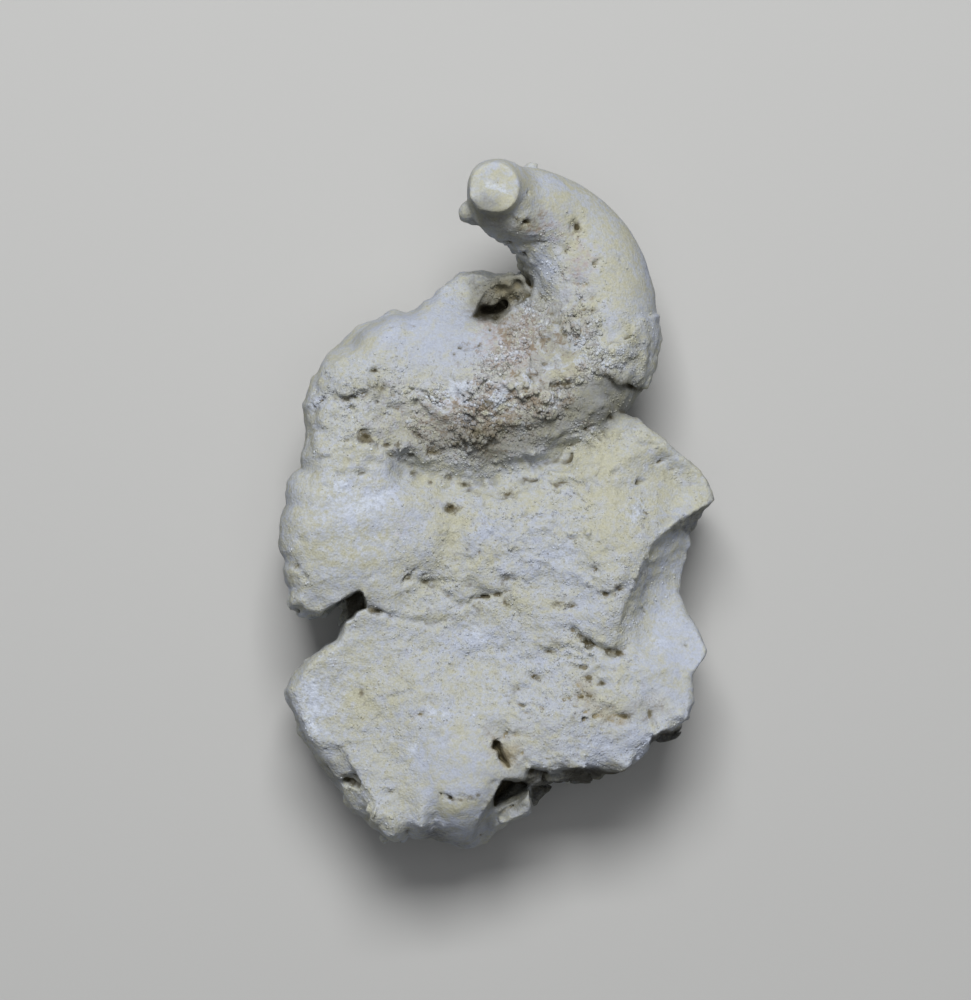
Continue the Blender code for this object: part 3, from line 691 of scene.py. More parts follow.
def surface_nets(F):
    """One vertex in each cell that the surface crosses, one quad over each crossed edge."""
    neg = F < 0
    c = neg[:-1, :-1, :-1].astype(np.int8)
    for i, j, k in ((1, 0, 0), (0, 1, 0), (0, 0, 1), (1, 1, 0), (1, 0, 1), (0, 1, 1), (1, 1, 1)):
        c += neg[i:F.shape[0] - 1 + i, j:F.shape[1] - 1 + j, k:F.shape[2] - 1 + k]
    active = (c > 0) & (c < 8)
    cells = np.argwhere(active)
    number = np.full(active.shape, -1, np.int32)
    number[active] = np.arange(len(cells), dtype=np.int32)
    corner = {}
    for i in (0, 1):
        for j in (0, 1):
            for k in (0, 1):
                corner[i, j, k] = F[cells[:, 0] + i, cells[:, 1] + j, cells[:, 2] + k]
    total = np.zeros((len(cells), 3), f32)
    count = np.zeros(len(cells), f32)
    for p in corner:
        for axis in range(3):
            if p[axis]:
                continue
            q = tuple(v + (n == axis) for n, v in enumerate(p))
            f0, f1 = corner[p], corner[q]
            hit = (f0 < 0) != (f1 < 0)
            t = np.where(hit, f0 / np.where(hit, f0 - f1, 1), 0)
            where = np.empty((len(cells), 3), f32)
            for n in range(3):
                where[:, n] = p[n] + (t if n == axis else 0)
            total += where * hit[:, None]
            count += hit
    verts = cells + total / count[:, None]
    quads = []
    for axis in range(3):
        lo = [slice(None)] * 3
        hi = [slice(None)] * 3
        lo[axis], hi[axis] = slice(0, -1), slice(1, None)
        change = neg[tuple(lo)] != neg[tuple(hi)]
        u, v = (axis + 1) % 3, (axis + 2) % 3
        e = np.argwhere(change)
        e = e[(e[:, u] > 0) & (e[:, v] > 0) & (e[:, u] < F.shape[u] - 1) & (e[:, v] < F.shape[v] - 1)]
        out = neg[e[:, 0], e[:, 1], e[:, 2]]
        ring = []
        for du, dv in ((1, 1), (0, 1), (0, 0), (1, 0)):
            o = e.copy()
            o[:, u] -= du
            o[:, v] -= dv
            ring.append(number[o[:, 0], o[:, 1], o[:, 2]])
        ring = np.array(ring).T
        ring[~out] = ring[~out][:, ::-1]
        quads.append(ring)
    return verts, np.vstack(quads)


def tidy(F):
    """Fills the few grid faces whose corners touch only across a diagonal, so that the surface stays a manifold."""
    for _ in range(6):
        found = 0
        neg = F < 0
        for axis in range(3):
            u, v = (axis + 1) % 3, (axis + 2) % 3
            sl = []
            for i, j in ((0, 0), (1, 0), (0, 1), (1, 1)):
                t = [slice(None)] * 3
                t[u] = slice(i, -1 if i == 0 else None)
                t[v] = slice(j, -1 if j == 0 else None)
                sl.append(tuple(t))
            n00, n10, n01, n11 = (neg[t] for t in sl)
            odd = (n00 == n11) & (n10 == n01) & (n00 != n10)
            found += int(odd.sum())
            if odd.any():
                for t in sl:
                    F[t][odd] = np.minimum(F[t][odd], -0.02 * STEP)
        if not found:
            break


def largest_part(count, quads):
    """Mask of the vertices in the largest connected piece of the surface."""
    label = np.arange(count, dtype=np.int64)
    edges = np.vstack([quads[:, [0, 1]], quads[:, [1, 2]], quads[:, [2, 3]], quads[:, [3, 0]]])
    while True:
        low = np.minimum(label[edges[:, 0]], label[edges[:, 1]])
        new = label.copy()
        np.minimum.at(new, edges[:, 0], low)
        np.minimum.at(new, edges[:, 1], low)
        new = new[new]
        new = new[new]
        if (new == label).all():
            break
        label = new
    names, sizes = np.unique(label, return_counts=True)
    return label == names[sizes.argmax()]


tidy(F)
verts, quads = surface_nets(F)
keep = largest_part(len(verts), quads)
renumber = np.cumsum(keep) - 1
quads = renumber[quads[keep[quads[:, 0]]]]
verts = verts[keep]
v = np.column_stack([ga[0] + verts[:, 0] * STEP, gb[0] + verts[:, 1] * STEP, gz[0] + verts[:, 2] * STEP])
v[:, 2] = np.where(v[:, 2] < BASE + 0.03, BASE, v[:, 2])


def to_frame(v):
    """Drawing mm to the CAD frame in metres, through the camera's perspective."""
    k = (CAM_HEIGHT - v[:, 2]) / (CAM_HEIGHT - REF_HEIGHT)
    ac, bc = at(CX, CY)
    out = np.column_stack([ac + (v[:, 0] - ac) * k, bc + (v[:, 1] - bc) * k, v[:, 2]])
    return (out + SHIFT) * 0.001


def from_frame(w):
    d = w * 1000.0 - SHIFT
    k = (CAM_HEIGHT - d[:, 2]) / (CAM_HEIGHT - REF_HEIGHT)
    ac, bc = at(CX, CY)
    return np.column_stack([ac + (d[:, 0] - ac) / k, bc + (d[:, 1] - bc) / k, d[:, 2]])


def make_mesh(name, points, faces):
    n = faces.shape[1]
    mesh = bpy.data.meshes.new(name)
    mesh.vertices.add(len(points))
    mesh.vertices.foreach_set("co", points.astype(f32).ravel())
    mesh.loops.add(len(faces) * n)
    mesh.loops.foreach_set("vertex_index", faces.astype(np.int32).ravel())
    mesh.polygons.add(len(faces))
    mesh.polygons.foreach_set("loop_start", np.arange(0, len(faces) * n, n, dtype=np.int32))
    mesh.polygons.foreach_set("loop_total", np.full(len(faces), n, np.int32))
    mesh.update(calc_edges=True)
    return mesh


MAX_TRIANGLES = 192000
mesh = make_mesh("rudist_stone", to_frame(v), quads)
rock = bpy.data.objects.new("rudist_stone", mesh)
bpy.context.scene.collection.objects.link(rock)
if len(quads) * 2 > MAX_TRIANGLES:
    # the back and the sides can be coarser than the face
    group = rock.vertex_groups.new(name="coarser")
    up = np.clip((v[:, 2] - 11.0) / 7.0, 0, 1)
    coarse = np.clip(1.0 - 0.9 * up, 0.1, 1.0)
    levels = np.round(coarse * 10).astype(int)
    for level in np.unique(levels):
        group.add(np.nonzero(levels == level)[0].tolist(), level / 10.0, 'REPLACE')
    thin = rock.modifiers.new("thin", 'DECIMATE')
    thin.ratio = MAX_TRIANGLES / (len(quads) * 2)
    thin.vertex_group = "coarser"
    thin.vertex_group_factor = 0.6
    thin.use_collapse_triangulate = True
    deps = bpy.context.evaluated_depsgraph_get()
    lighter = bpy.data.meshes.new_from_object(rock.evaluated_get(deps))
    rock.modifiers.clear()
    rock.vertex_groups.clear()
    rock.data = lighter
    bpy.data.meshes.remove(mesh)
    mesh = lighter
    mesh.name = "rudist_stone"
mesh.shade_smooth()
count = len(mesh.vertices)
w = np.zeros(count * 3, f32)
mesh.vertices.foreach_get("co", w)
w = w.reshape(-1, 3)
w[:, 2] = np.maximum(w[:, 2], 0.0)                # nothing sinks below the flat it rests on
mesh.vertices.foreach_set("co", w.ravel())
mesh.update()
d = from_frame(w.astype(float))

# ----------------------------------------------------- what the finish depends on
solid = np.clip(0.5 - F / STEP, 0, 1).astype(f32)
near_field = blur(blur(solid, 0.5), 0.3)
far_field = blur(solid, 2.1)
del solid


def sample(x, d):
    """Trilinear reading of a grid at points of the drawing."""
    spot = [(d[:, n] - g[0]) / STEP for n, g in enumerate((ga, gb, gz))]
    low = [np.clip(np.floor(q).astype(int), 0, len(g) - 2) for q, g in zip(spot, (ga, gb, gz))]
    t = [np.clip(q - i, 0, 1) for q, i in zip(spot, low)]
    total = 0
    for i in (0, 1):
        for j in (0, 1):
            for k in (0, 1):
                part = ((t[0] if i else 1 - t[0]) * (t[1] if j else 1 - t[1]) * (t[2] if k else 1 - t[2]))
                total = total + part * x[low[0] + i, low[1] + j, low[2] + k]
    return total


bent = (4.0 * noise2(3.0, 43) + 2.0 * noise2(1.3, 44), 4.0 * noise2(3.0, 45) + 2.0 * noise2(1.3, 46))
frayed = (1.3 * noise2(0.9, 47) + 0.9 * noise2(1.8, 48), 1.3 * noise2(0.9, 49) + 0.9 * noise2(1.8, 50))


def region(items, shift=bent):
    """Soft, uneven patches of the plan as one map: x, y, half width, half height, turn, strength."""
    m = np.zeros(PX.shape, f32)
    for x, y, wide, tall, turn, strength in items:
        m += strength * blob(x, y, wide, tall, turn, shift)
    return m


BLUE = region([
    (470, 775, 12, 24, 0, 0.5), (441, 762, 7, 20, 0, 0.5),
    (600, 748, 24, 10, 0, 0.5), (640, 690, 10, 8, 0, 0.5), (575, 590, 16, 10, 0, 0.5), (520, 565, 14, 10, 0, 0.5),
    (445, 333, 44, 24, 5, 1.25), (672, 650, 22, 44, -5, 0.9), (660, 570, 14, 40, -10, 0.5), (622, 752, 32, 18, 10, 0.7),
    (560, 550, 24, 20, 0, 0.7), (470, 645, 14, 8, 0, 0.9), (455, 828, 26, 14, 0, 1.0),
    (360, 498, 26, 22, 20, 0.6), (316, 700, 16, 22, 0, 0.5), (645, 265, 6, 60, 10, 0.7),
    (540, 700, 28, 26, 0, 0.5), (600, 735, 30, 15, 0, 0.5), (440, 714, 20, 7, -10, 0.9),
    (505, 650, 22, 20, 0, 0.4), (540, 280, 10, 22, 0, 0.6), (610, 322, 12, 10, 0, 0.5),
    (425, 745, 8, 20, 0, 0.6), (430, 770, 8, 14, 0, 0.6), (465, 398, 14, 9, 0, 0.6),
    (590, 610, 12, 10, 0, 0.4), (645, 507, 8, 10, 30, 0.8), (490, 530, 12, 10, 0, 0.7),
    (545, 180, 14, 5, -20, 0.5), (620, 200, 24, 8, -40, 0.5), (390, 505, 16, 22, 20, 0.4)])
CREAM = region([
    (461, 805, 14, 3, 0, 1.6),
    (650, 475, 48, 30, 30, 0.62), (606, 262, 26, 60, 12, 0.65), (560, 196, 34, 14, -20, 0.4), (446, 530, 14, 30, 0, 0.9),
    (385, 715, 34, 40, 20, 0.38), (494, 192, 22, 16, 0, 0.7), (620, 535, 30, 24, 0, 0.6),
    (350, 548, 26, 12, 0, 0.15), (310, 490, 16, 14, 0, 0.3), (310, 608, 14, 5, 0, 0.9),
    (560, 364, 8, 7, 10, 1.7), (367, 700, 6, 10, 30, 1.6), (600, 470, 24, 30, 0, 0.6),
    (300, 670, 16, 8, 30, 0.5), (500, 600, 20, 10, 0, 0.3), (530, 725, 40, 16, 0, 0.4),
    (475, 555, 30, 20, 0, 0.3), (340, 430, 20, 26, 0, 0.4), (640, 600, 16, 30, 0, 0.2)])
OCHRE = region([
    (516, 757, 10, 12, 0, 0.35), (540, 732, 30, 16, 0, 0.4), (592, 696, 16, 6, 0, 0.1), (628, 702, 18, 9, 0, 0.35),
    (585, 300, 12, 26, 0, 0.3), (450, 745, 14, 14, 0, 0.2),
    (512, 816, 16, 7, 0, 0.4), (600, 560, 10, 6, 0, 0.5), (500, 545, 12, 7, 0, 0.35), (560, 640, 18, 6, 0, 0.35),
    (514, 285, 14, 9, 0, 0.9), (470, 292, 7, 10, 0, 0.5), (530, 217, 12, 4, 10, 0.9), (600, 702, 34, 18, 0, 0.28), (655, 490, 30, 20, 30, 0.2),
    (512, 290, 18, 12, 0, 1.0), (494, 308, 20, 12, 0, 1.2), (452, 508, 9, 6, 0, 1.0),
    (622, 380, 26, 5, -15, 0.7), (502, 752, 6, 16, 24, 1.2), (512, 764, 8, 6, 0, 0.8),
    (350, 606, 18, 10, 30, 1.2), (578, 284, 9, 5, 0, 0.7), (575, 320, 26, 20, 0, 0.45),
    (528, 222, 16, 6, -20, 0.7), (498, 222, 20, 10, -30, 0.7), (577, 228, 5, 5, 0, 0.9),
    (366, 436, 8, 5, 0, 0.9), (360, 395, 16, 5, 0, 0.5), (585, 696, 14, 6, 0, 0.5),
    (610, 708, 12, 5, 0, 0.7), (626, 718, 6, 4, 0, 0.9), (535, 677, 7, 4, 0, 0.7),
    (588, 678, 6, 4, 0, 0.7), (512, 492, 12, 6, 0, 0.5), (560, 606, 18, 5, 0, 0.6),
    (450, 545, 8, 18, 0, 0.5), (484, 596, 14, 5, 0, 0.6), (590, 640, 14, 6, -20, 0.6),
    (616, 652, 8, 4, 0, 0.6), (420, 714, 6, 4, 0, 0.8), (481, 835, 3, 3, 0, 1.0),
    (660, 700, 12, 10, 0, 0.5), (675, 712, 12, 5, 0, 0.5), (515, 740, 16, 10, 0, 0.4),
    (540, 400, 30, 20, 0, 0.5), (480, 432, 10, 8, 0, 0.6), (512, 370, 16, 12, 0, 0.5),
    (378, 612, 8, 4, 0, 0.7), (300, 476, 12, 5, 0, 0.3), (585, 702, 34, 16, 0, 0.35), (655, 708, 18, 12, 0, 0.3), (600, 600, 14, 14, 0, 0.3)])
PINK = region([
    (470, 425, 44, 24, 0, 0.8), (505, 345, 22, 24, 0, 0.7), (535, 330, 20, 16, 0, 0.5),
    (545, 225, 16, 9, 0, 0.7), (576, 264, 12, 20, 0, 0.8), (498, 318, 8, 4, 0, 0.8), (550, 400, 20, 14, 0, 0.4),
    (395, 530, 8, 14, 0, 0.4), (400, 668, 16, 10, 0, 0.25), (480, 745, 14, 8, 0, 0.2)])
# grime, and painted shade: real dirt in places; painted shade on the undersides, below the tip's disc, on the horn's
# underside over the druse, in the hole, the notch, on the wall over the scoop and on the hollow's wall
GRIME_AND_SHADE = region([
    (512, 815, 16, 7, 0, 0.5), (330, 419, 8, 3, 0, 0.4), (372, 388, 18, 6, -10, 0.35), (420, 440, 40, 16, 10, 0.35),
    (516, 284, 13, 9, 0, 0.7), (528, 217, 12, 4, 10, 0.5),
    (552, 424, 60, 18, 12, 0.9), (600, 405, 26, 16, 10, 0.8), (480, 446, 50, 16, -5, 0.6),
    (640, 352, 14, 26, -20, 0.6), (465, 415, 40, 24, 0, 0.2), (596, 779, 44, 6, -4, 1.5), (498, 224, 26, 10, -30, 0.6),
    (560, 350, 30, 30, 0, 0.35), (622, 384, 20, 6, 0, 0.7), (492, 812, 10, 26, 15, 0.5),
    (440, 832, 16, 8, 0, 0.5), (676, 526, 18, 9, 30, 0.5), (360, 385, 22, 10, 0, 0.3),
    (400, 405, 20, 14, 0, 0.25), (512, 792, 16, 12, 0, 1.4), (350, 606, 16, 9, 30, 1.2),
    (494, 308, 16, 9, 0, 0.8), (590, 774, 34, 7, 0, 0.7), (330, 775, 12, 24, -38, 0.5),
    (668, 742, 10, 6, 25, 0.8), (632, 590, 6, 34, -20, 0.3), (484, 216, 20, 12, 20, 0.45), (508, 288, 20, 12, 10, 0.7),
    (330, 770, 10, 26, -36, 0.25), (445, 338, 50, 28, 0, 0.36), (560, 330, 26, 24, 0, 0.35), (590, 722, 50, 26, 0, 0.22), (510, 560, 90, 60, 0, 0.08),
    (478, 205, 14, 18, -30, 0.4), (500, 286, 28, 13, -18, 0.7), (470, 295, 7, 10, 0, 0.5), (518, 280, 14, 8, 0, 0.5)])


WHITE = region([
    (452, 386, 9, 6, 0, 1.0), (462, 402, 10, 7, 0, 1.0), (468, 427, 9, 7, 0, 1.0), (492, 392, 9, 5, 0, 0.8),
    (510, 337, 9, 7, 0, 0.8), (520, 304, 8, 6, 0, 0.8), (537, 372, 10, 6, 0, 0.8), (580, 357, 8, 12, 20, 0.7), (553, 403, 7, 5, 0, 0.6),
    (607, 364, 6, 4, 0, 0.9), (626, 346, 12, 4, 40, 0.7), (316, 693, 12, 10, 0, 0.7), (319, 722, 8, 6, 0, 0.6),
    (645, 512, 8, 5, 40, 0.9), (590, 200, 14, 5, -25, 0.5), (437, 716, 12, 4, -15, 0.8), (455, 835, 10, 6, 0, 0.4),
    (478, 641, 10, 7, 0, 0.6), (551, 773, 6, 3, 0, 1.0), (365, 498, 10, 7, 20, 0.5), (340, 485, 10, 7, 0, 0.4),
    (450, 322, 12, 9, 0, 0.15), (420, 370, 16, 7, 0, 0.2), (350, 520, 46, 44, 0, 0.48), (330, 690, 36, 46, 0, 0.36), (560, 552, 14, 9, 0, 0.5), (500, 700, 20, 9, 0, 0.3),
    (661, 640, 9, 9, 0, 0.5), (496, 184, 6, 5, 0, 1.1), (554, 776, 8, 3, 0, 1.2), (518, 776, 6, 3, 0, 0.9), (415, 754, 6, 16, -10, 0.7), (463, 748, 16, 12, 0, 0.2), (540, 262, 8, 20, 10, 0.4)])
RUST = region([
    (487, 402, 6, 5, 0, 1.2), (483, 430, 6, 6, 0, 1.3), (513, 328, 5, 4, 0, 1.2), (478, 345, 4, 3, 0, 0.8),
    (507, 370, 6, 4, 0, 1.0), (567, 400, 5, 4, 0, 1.0), (527, 345, 5, 3, 0, 0.7), (587, 432, 6, 3, 0, 1.0),
    (443, 418, 5, 5, 0, 0.8), (433, 452, 6, 4, 0, 0.8), (505, 418, 9, 6, 0, 0.9), (466, 345, 3, 3, 0, 0.6),
    (456, 395, 6, 8, 0, 0.5), (470, 412, 6, 4, 0, 0.6), (530, 395, 14, 5, 0, 0.4), (484, 446, 14, 6, 0, 0.7),
    (537, 222, 10, 5, -20, 0.9), (577, 228, 4, 4, 0, 0.7), (545, 250, 4, 4, 0, 0.4), (555, 335, 16, 5, 0, 0.5),
    (540, 338, 8, 3, 0, 0.6), (614, 592, 4, 3, 0, 0.6), (555, 605, 5, 3, 0, 0.5)])


# brown stains in the pits and creases, and painted shadow lines under overhanging edges
SPOTS_AND_SHADOW = region([(x, y, rx * 0.9, ry * 1.0, turn, min(depth / 1.2, 1.05)) for x, y, rx, ry, turn, depth in PITS], frayed)
SPOTS_AND_SHADOW *= np.clip(0.90 + 0.25 * noise2(0.75, 71) + 0.20 * noise2(1.6, 72), 0.2, 1.5)
# painted shade, deep brown: the undersides along the lower right edge, the recess by the stub, the hole, the notch, the
# slit, the wall over the scoop and the hollow in the whorl
SHADE = 0.84 * soft(PY - np.interp(PX, UNDER_X, UNDER_Y) + ragged, 0.5, 3.5) * soft(PX, 544, 552) * (1 - soft(PX, 700, 712))
SHADE *= 1 - 0.8 * (blob(552, 776, 8, 3) > 0.4)
SHADE += 0.85 * soft(dent, -1.0, 2.0) + 0.58 * soft(hole, -0.5, 3.0) * (1 - 0.75 * into_hole ** 1.5)
SHADE += 0.9 * soft(polygon([(531, 785), (549, 783), (558, 789), (547, 799), (539, 807), (532, 812), (531, 803)]), -1, 2)
SHADE += 0.9 * soft(notch, -1.0, 1.5) + 0.35 * soft(slit, -1.0, 1.0)
SHADE += 0.55 * soft(polygon([(667, 529), (678, 519), (690, 512), (704, 506), (715, 500), (706, 517), (695, 529), (690, 538),
                              (681, 530), (671, 536)]) + ragged, -1.0, 2.0)
SHADE += 0.22 * soft(pocket, -2.5, 6.0) + 0.36 * soft(fall, 3.6, 7.6) * soft(pocket, -1, 2)
SHADE += 0.40 * blob(491, 311, 14, 9, -20) * soft(pocket, -1, 2)
# painted shade at the stub's foot and along the break of its right flank
SHADE += 0.55 * blob(433, 834, 12, 9) + 0.45 * blob(460, 845, 22, 6) + 0.35 * line([(492, 799), (484, 811), (478, 824), (474, 836)], 2.2)
# painted shadow under the lower edge of the shell patch on the horn
SHADE += 0.55 * line([(598, 371), (609, 377), (622, 384), (636, 390), (645, 391)], 2.0)
SHADE = np.clip(SHADE, 0, 1) * (1 - 0.95 * np.clip(1.4 * blob(554, 776, 7, 2.6) + 1.3 * blob(518, 776, 6, 3), 0, 1))
SPOTS_AND_SHADOW += 0.42 * soft(noise2(0.6, 73) + 0.5 * noise2(1.2, 74), 0.8, 2.4) * soft(noise2(3.2, 75), -0.4, 1.0) * plain2
SPOTS_AND_SHADOW += 0.36 * line([(334, 396), (342, 399), (352, 398), (360, 394), (368, 396)], 2.0)
SPOTS_AND_SHADOW += 0.40 * line([(372, 386), (380, 389), (384, 383)], 2.2)
# painted shadow under the stub's lip
SPOTS_AND_SHADOW += 0.7 * line([(436, 796), (449, 798), (458, 801), (468, 799), (478, 795)], 1.6)
# painted shadow under the lower edge of the shell patch on the horn
SPOTS_AND_SHADOW += 0.6 * line([(597, 369), (609, 376), (622, 383), (636, 389), (641, 390)], 2.2)
SPOTS_AND_SHADOW += 0.28 * line([(408, 578), (424, 582), (437, 588), (446, 595), (454, 603)], 1.3)
# painted shadow under the ledge
SPOTS_AND_SHADOW += 0.5 * line([(580, 634), (590, 643), (603, 649), (618, 653)], 2.2)
SPOTS_AND_SHADOW += 0.35 * line([(600, 279), (588, 280)], 1.0) + 1.0 * line([(504.5, 597.5), (509, 606)], 0.8)
SPOTS_AND_SHADOW += 0.35 * line([(424, 351), (440, 358), (460, 362), (486, 362)], 0.9)


def put(mesh, name, values):
    layer = mesh.attributes.new(name, 'FLOAT', 'POINT')
    layer.data.foreach_set("value", np.ascontiguousarray(values, f32))


def dress(mesh, d, tint=None):
    """Gives a mesh the maps its finish reads, at its points of the drawing."""
    x = np.clip((d[:, 0] - ga[0]) / STEP, 0, NA - 1.001)
    y = np.clip((d[:, 1] - gb[0]) / STEP, 0, NB - 1.001)
    i, j = x.astype(int), y.astype(int)
    x, y = x - i, y - j

    def read(m):
        return ((m[i, j] * (1 - x) + m[i + 1, j] * x) * (1 - y) + (m[i, j + 1] * (1 - x) + m[i + 1, j + 1] * x) * y) * up

    up = np.clip((d[:, 2] - 14.0) / 8.0, 0, 1)
    put(mesh, "cool", read(BLUE - 0.9 * CREAM))
    put(mesh, "white", read(WHITE))
    put(mesh, "spot", read(SPOTS_AND_SHADOW))
    # below 14 to 22 mm the maps fade out and the sides and back get extra ochre and grime-and-shade: warmer and darker
    # towards the bottom
    put(mesh, "ochre", read(OCHRE) + 0.15 * (1 - up))
    put(mesh, "rust", read(RUST))
    put(mesh, "pink", read(PINK))
    put(mesh, "grime_and_shade", read(GRIME_AND_SHADE) + 0.25 * (1 - up))
    put(mesh, "shade", read(SHADE))
    put(mesh, "polish", read(smooth2))
    put(mesh, "sugar", read(druse2))
    put(mesh, "dip", sample(near_field, d) - 0.5 if tint is None else np.zeros(len(d)))
    put(mesh, "hollow", sample(far_field, d) - 0.5)
    put(mesh, "tint", np.zeros(len(d)) if tint is None else tint)


dress(mesh, d)


# ------------------------------------------------------------- crystals and crumbs
k_top = NZ - 1 - np.argmax((F < 0)[:, :, ::-1], axis=2)
solid_below = (F < 0).any(axis=2)
k_top = np.clip(k_top, 0, NZ - 2)
ii, jj = np.indices(k_top.shape)
f0, f1 = F[ii, jj, k_top], F[ii, jj, k_top + 1]
crust = np.where(solid_below, gz[k_top] + STEP * f0 / np.where(f0 == f1, -1, f0 - f1), 0.0)
slope_a, slope_b = np.gradient(crust, STEP)
near = np.clip(np.rint(verts).astype(int), 0, np.array(F.shape) - 1)
near = near[np.abs(near[:, 2] - k_top[near[:, 0], near[:, 1]]) <= 2]
held = np.zeros(k_top.shape, bool)                # columns whose top belongs to the stone and not to a dropped speck
held[near[:, 0], near[:, 1]] = True
held[1:-1, 1:-1] |= held[:-2, 1:-1] | held[2:, 1:-1] | held[1:-1, :-2] | held[1:-1, 2:]


def grains(name, mask, count, small, large, power, sink, seed, size=None, steepest=2.0):
    """Many small faceted grains half sunk in the surface, as one mesh."""
    rnd = np.random.default_rng(seed)
    mask = mask * held * (crust > 16) * (np.hypot(slope_a, slope_b) < steepest)
    w = (mask / mask.sum()).ravel()
    i, j = np.unravel_index(rnd.choice(w.size, count, p=w / w.sum()), mask.shape)
    p = np.column_stack([ga[i] + (rnd.random(count) - 0.5) * STEP, gb[j] + (rnd.random(count) - 0.5) * STEP, crust[i, j]])
    n = np.column_stack([-slope_a[i, j], -slope_b[i, j], np.ones(count)])
    n /= np.linalg.norm(n, axis=1)[:, None]
    r = small + (large - small) * rnd.random(count) ** power
    if size is not None:
        r = r * size[i, j]
    centre = p - n * (r * sink)[:, None]
    g = (1 + 5 ** 0.5) / 2
    base = np.array([(-1, g, 0), (1, g, 0), (-1, -g, 0), (1, -g, 0), (0, -1, g), (0, 1, g),
                     (0, -1, -g), (0, 1, -g), (g, 0, -1), (g, 0, 1), (-g, 0, -1), (-g, 0, 1)]) / math.hypot(1, g)
    faces = np.array([(0, 11, 5), (0, 5, 1), (0, 1, 7), (0, 7, 10), (0, 10, 11), (1, 5, 9), (5, 11, 4), (11, 10, 2),
                      (10, 7, 6), (7, 1, 8), (3, 9, 4), (3, 4, 2), (3, 2, 6), (3, 6, 8), (3, 8, 9), (4, 9, 5),
                      (2, 4, 11), (6, 2, 10), (8, 6, 7), (9, 8, 1)])
    q = rnd.standard_normal((count, 4))
    q /= np.linalg.norm(q, axis=1)[:, None]
    a, b, c, e = q.T
    R = np.array([[1 - 2 * (c * c + e * e), 2 * (b * c - e * a), 2 * (b * e + c * a)],
                  [2 * (b * c + e * a), 1 - 2 * (b * b + e * e), 2 * (c * e - b * a)],
                  [2 * (b * e - c * a), 2 * (c * e + b * a), 1 - 2 * (b * b + c * c)]]).transpose(2, 0, 1)
    shape = base[None] * (1 + 0.22 * (2 * rnd.random((count, 12, 1)) - 1))
    shape = shape * (r[:, None] * (0.7 + 0.55 * rnd.random((count, 3))))[:, None, :]
    v = centre[:, None, :] + np.einsum('nij,nkj->nki', R, shape)
    f = faces[None] + 12 * np.arange(count)[:, None, None]
    mesh = make_mesh(name, to_frame(v.reshape(-1, 3)), f.reshape(-1, 3))
    dress(mesh, np.repeat(centre, 12, axis=0), np.repeat(rnd.normal(0, 1, count), 12))
    piece = bpy.data.objects.new(name, mesh)
    bpy.context.scene.collection.objects.link(piece)
    return piece


many = 1.0
clumps = soft(noise2(2.2, 51), -0.9, 0.9) * (0.35 + 0.65 * soft(noise2(5.5, 52), -0.8, 0.8))
bare = 1 - 0.95 * blob(562, 363, 9, 11, 20)
crystals = grains("druse_crystals", inside2 * (druse2 ** 1.3 + 0.30 * frost2) * clumps * bare, int(9500 * many), 0.11, 0.46, 2.8, 0.25, 61,
                  0.55 + 0.45 * np.clip(druse2 * 1.5, 0, 1), 3.5)
crumbs = grains("matrix_crumbs", inside2 * np.maximum(plain2 ** 2 - 0.03, 0) * (0.15 + clumps) + 0.25 * inside2 * blob(365, 412, 40, 36), int(8500 * many), 0.11, 0.32, 2.6, 0.45, 62)


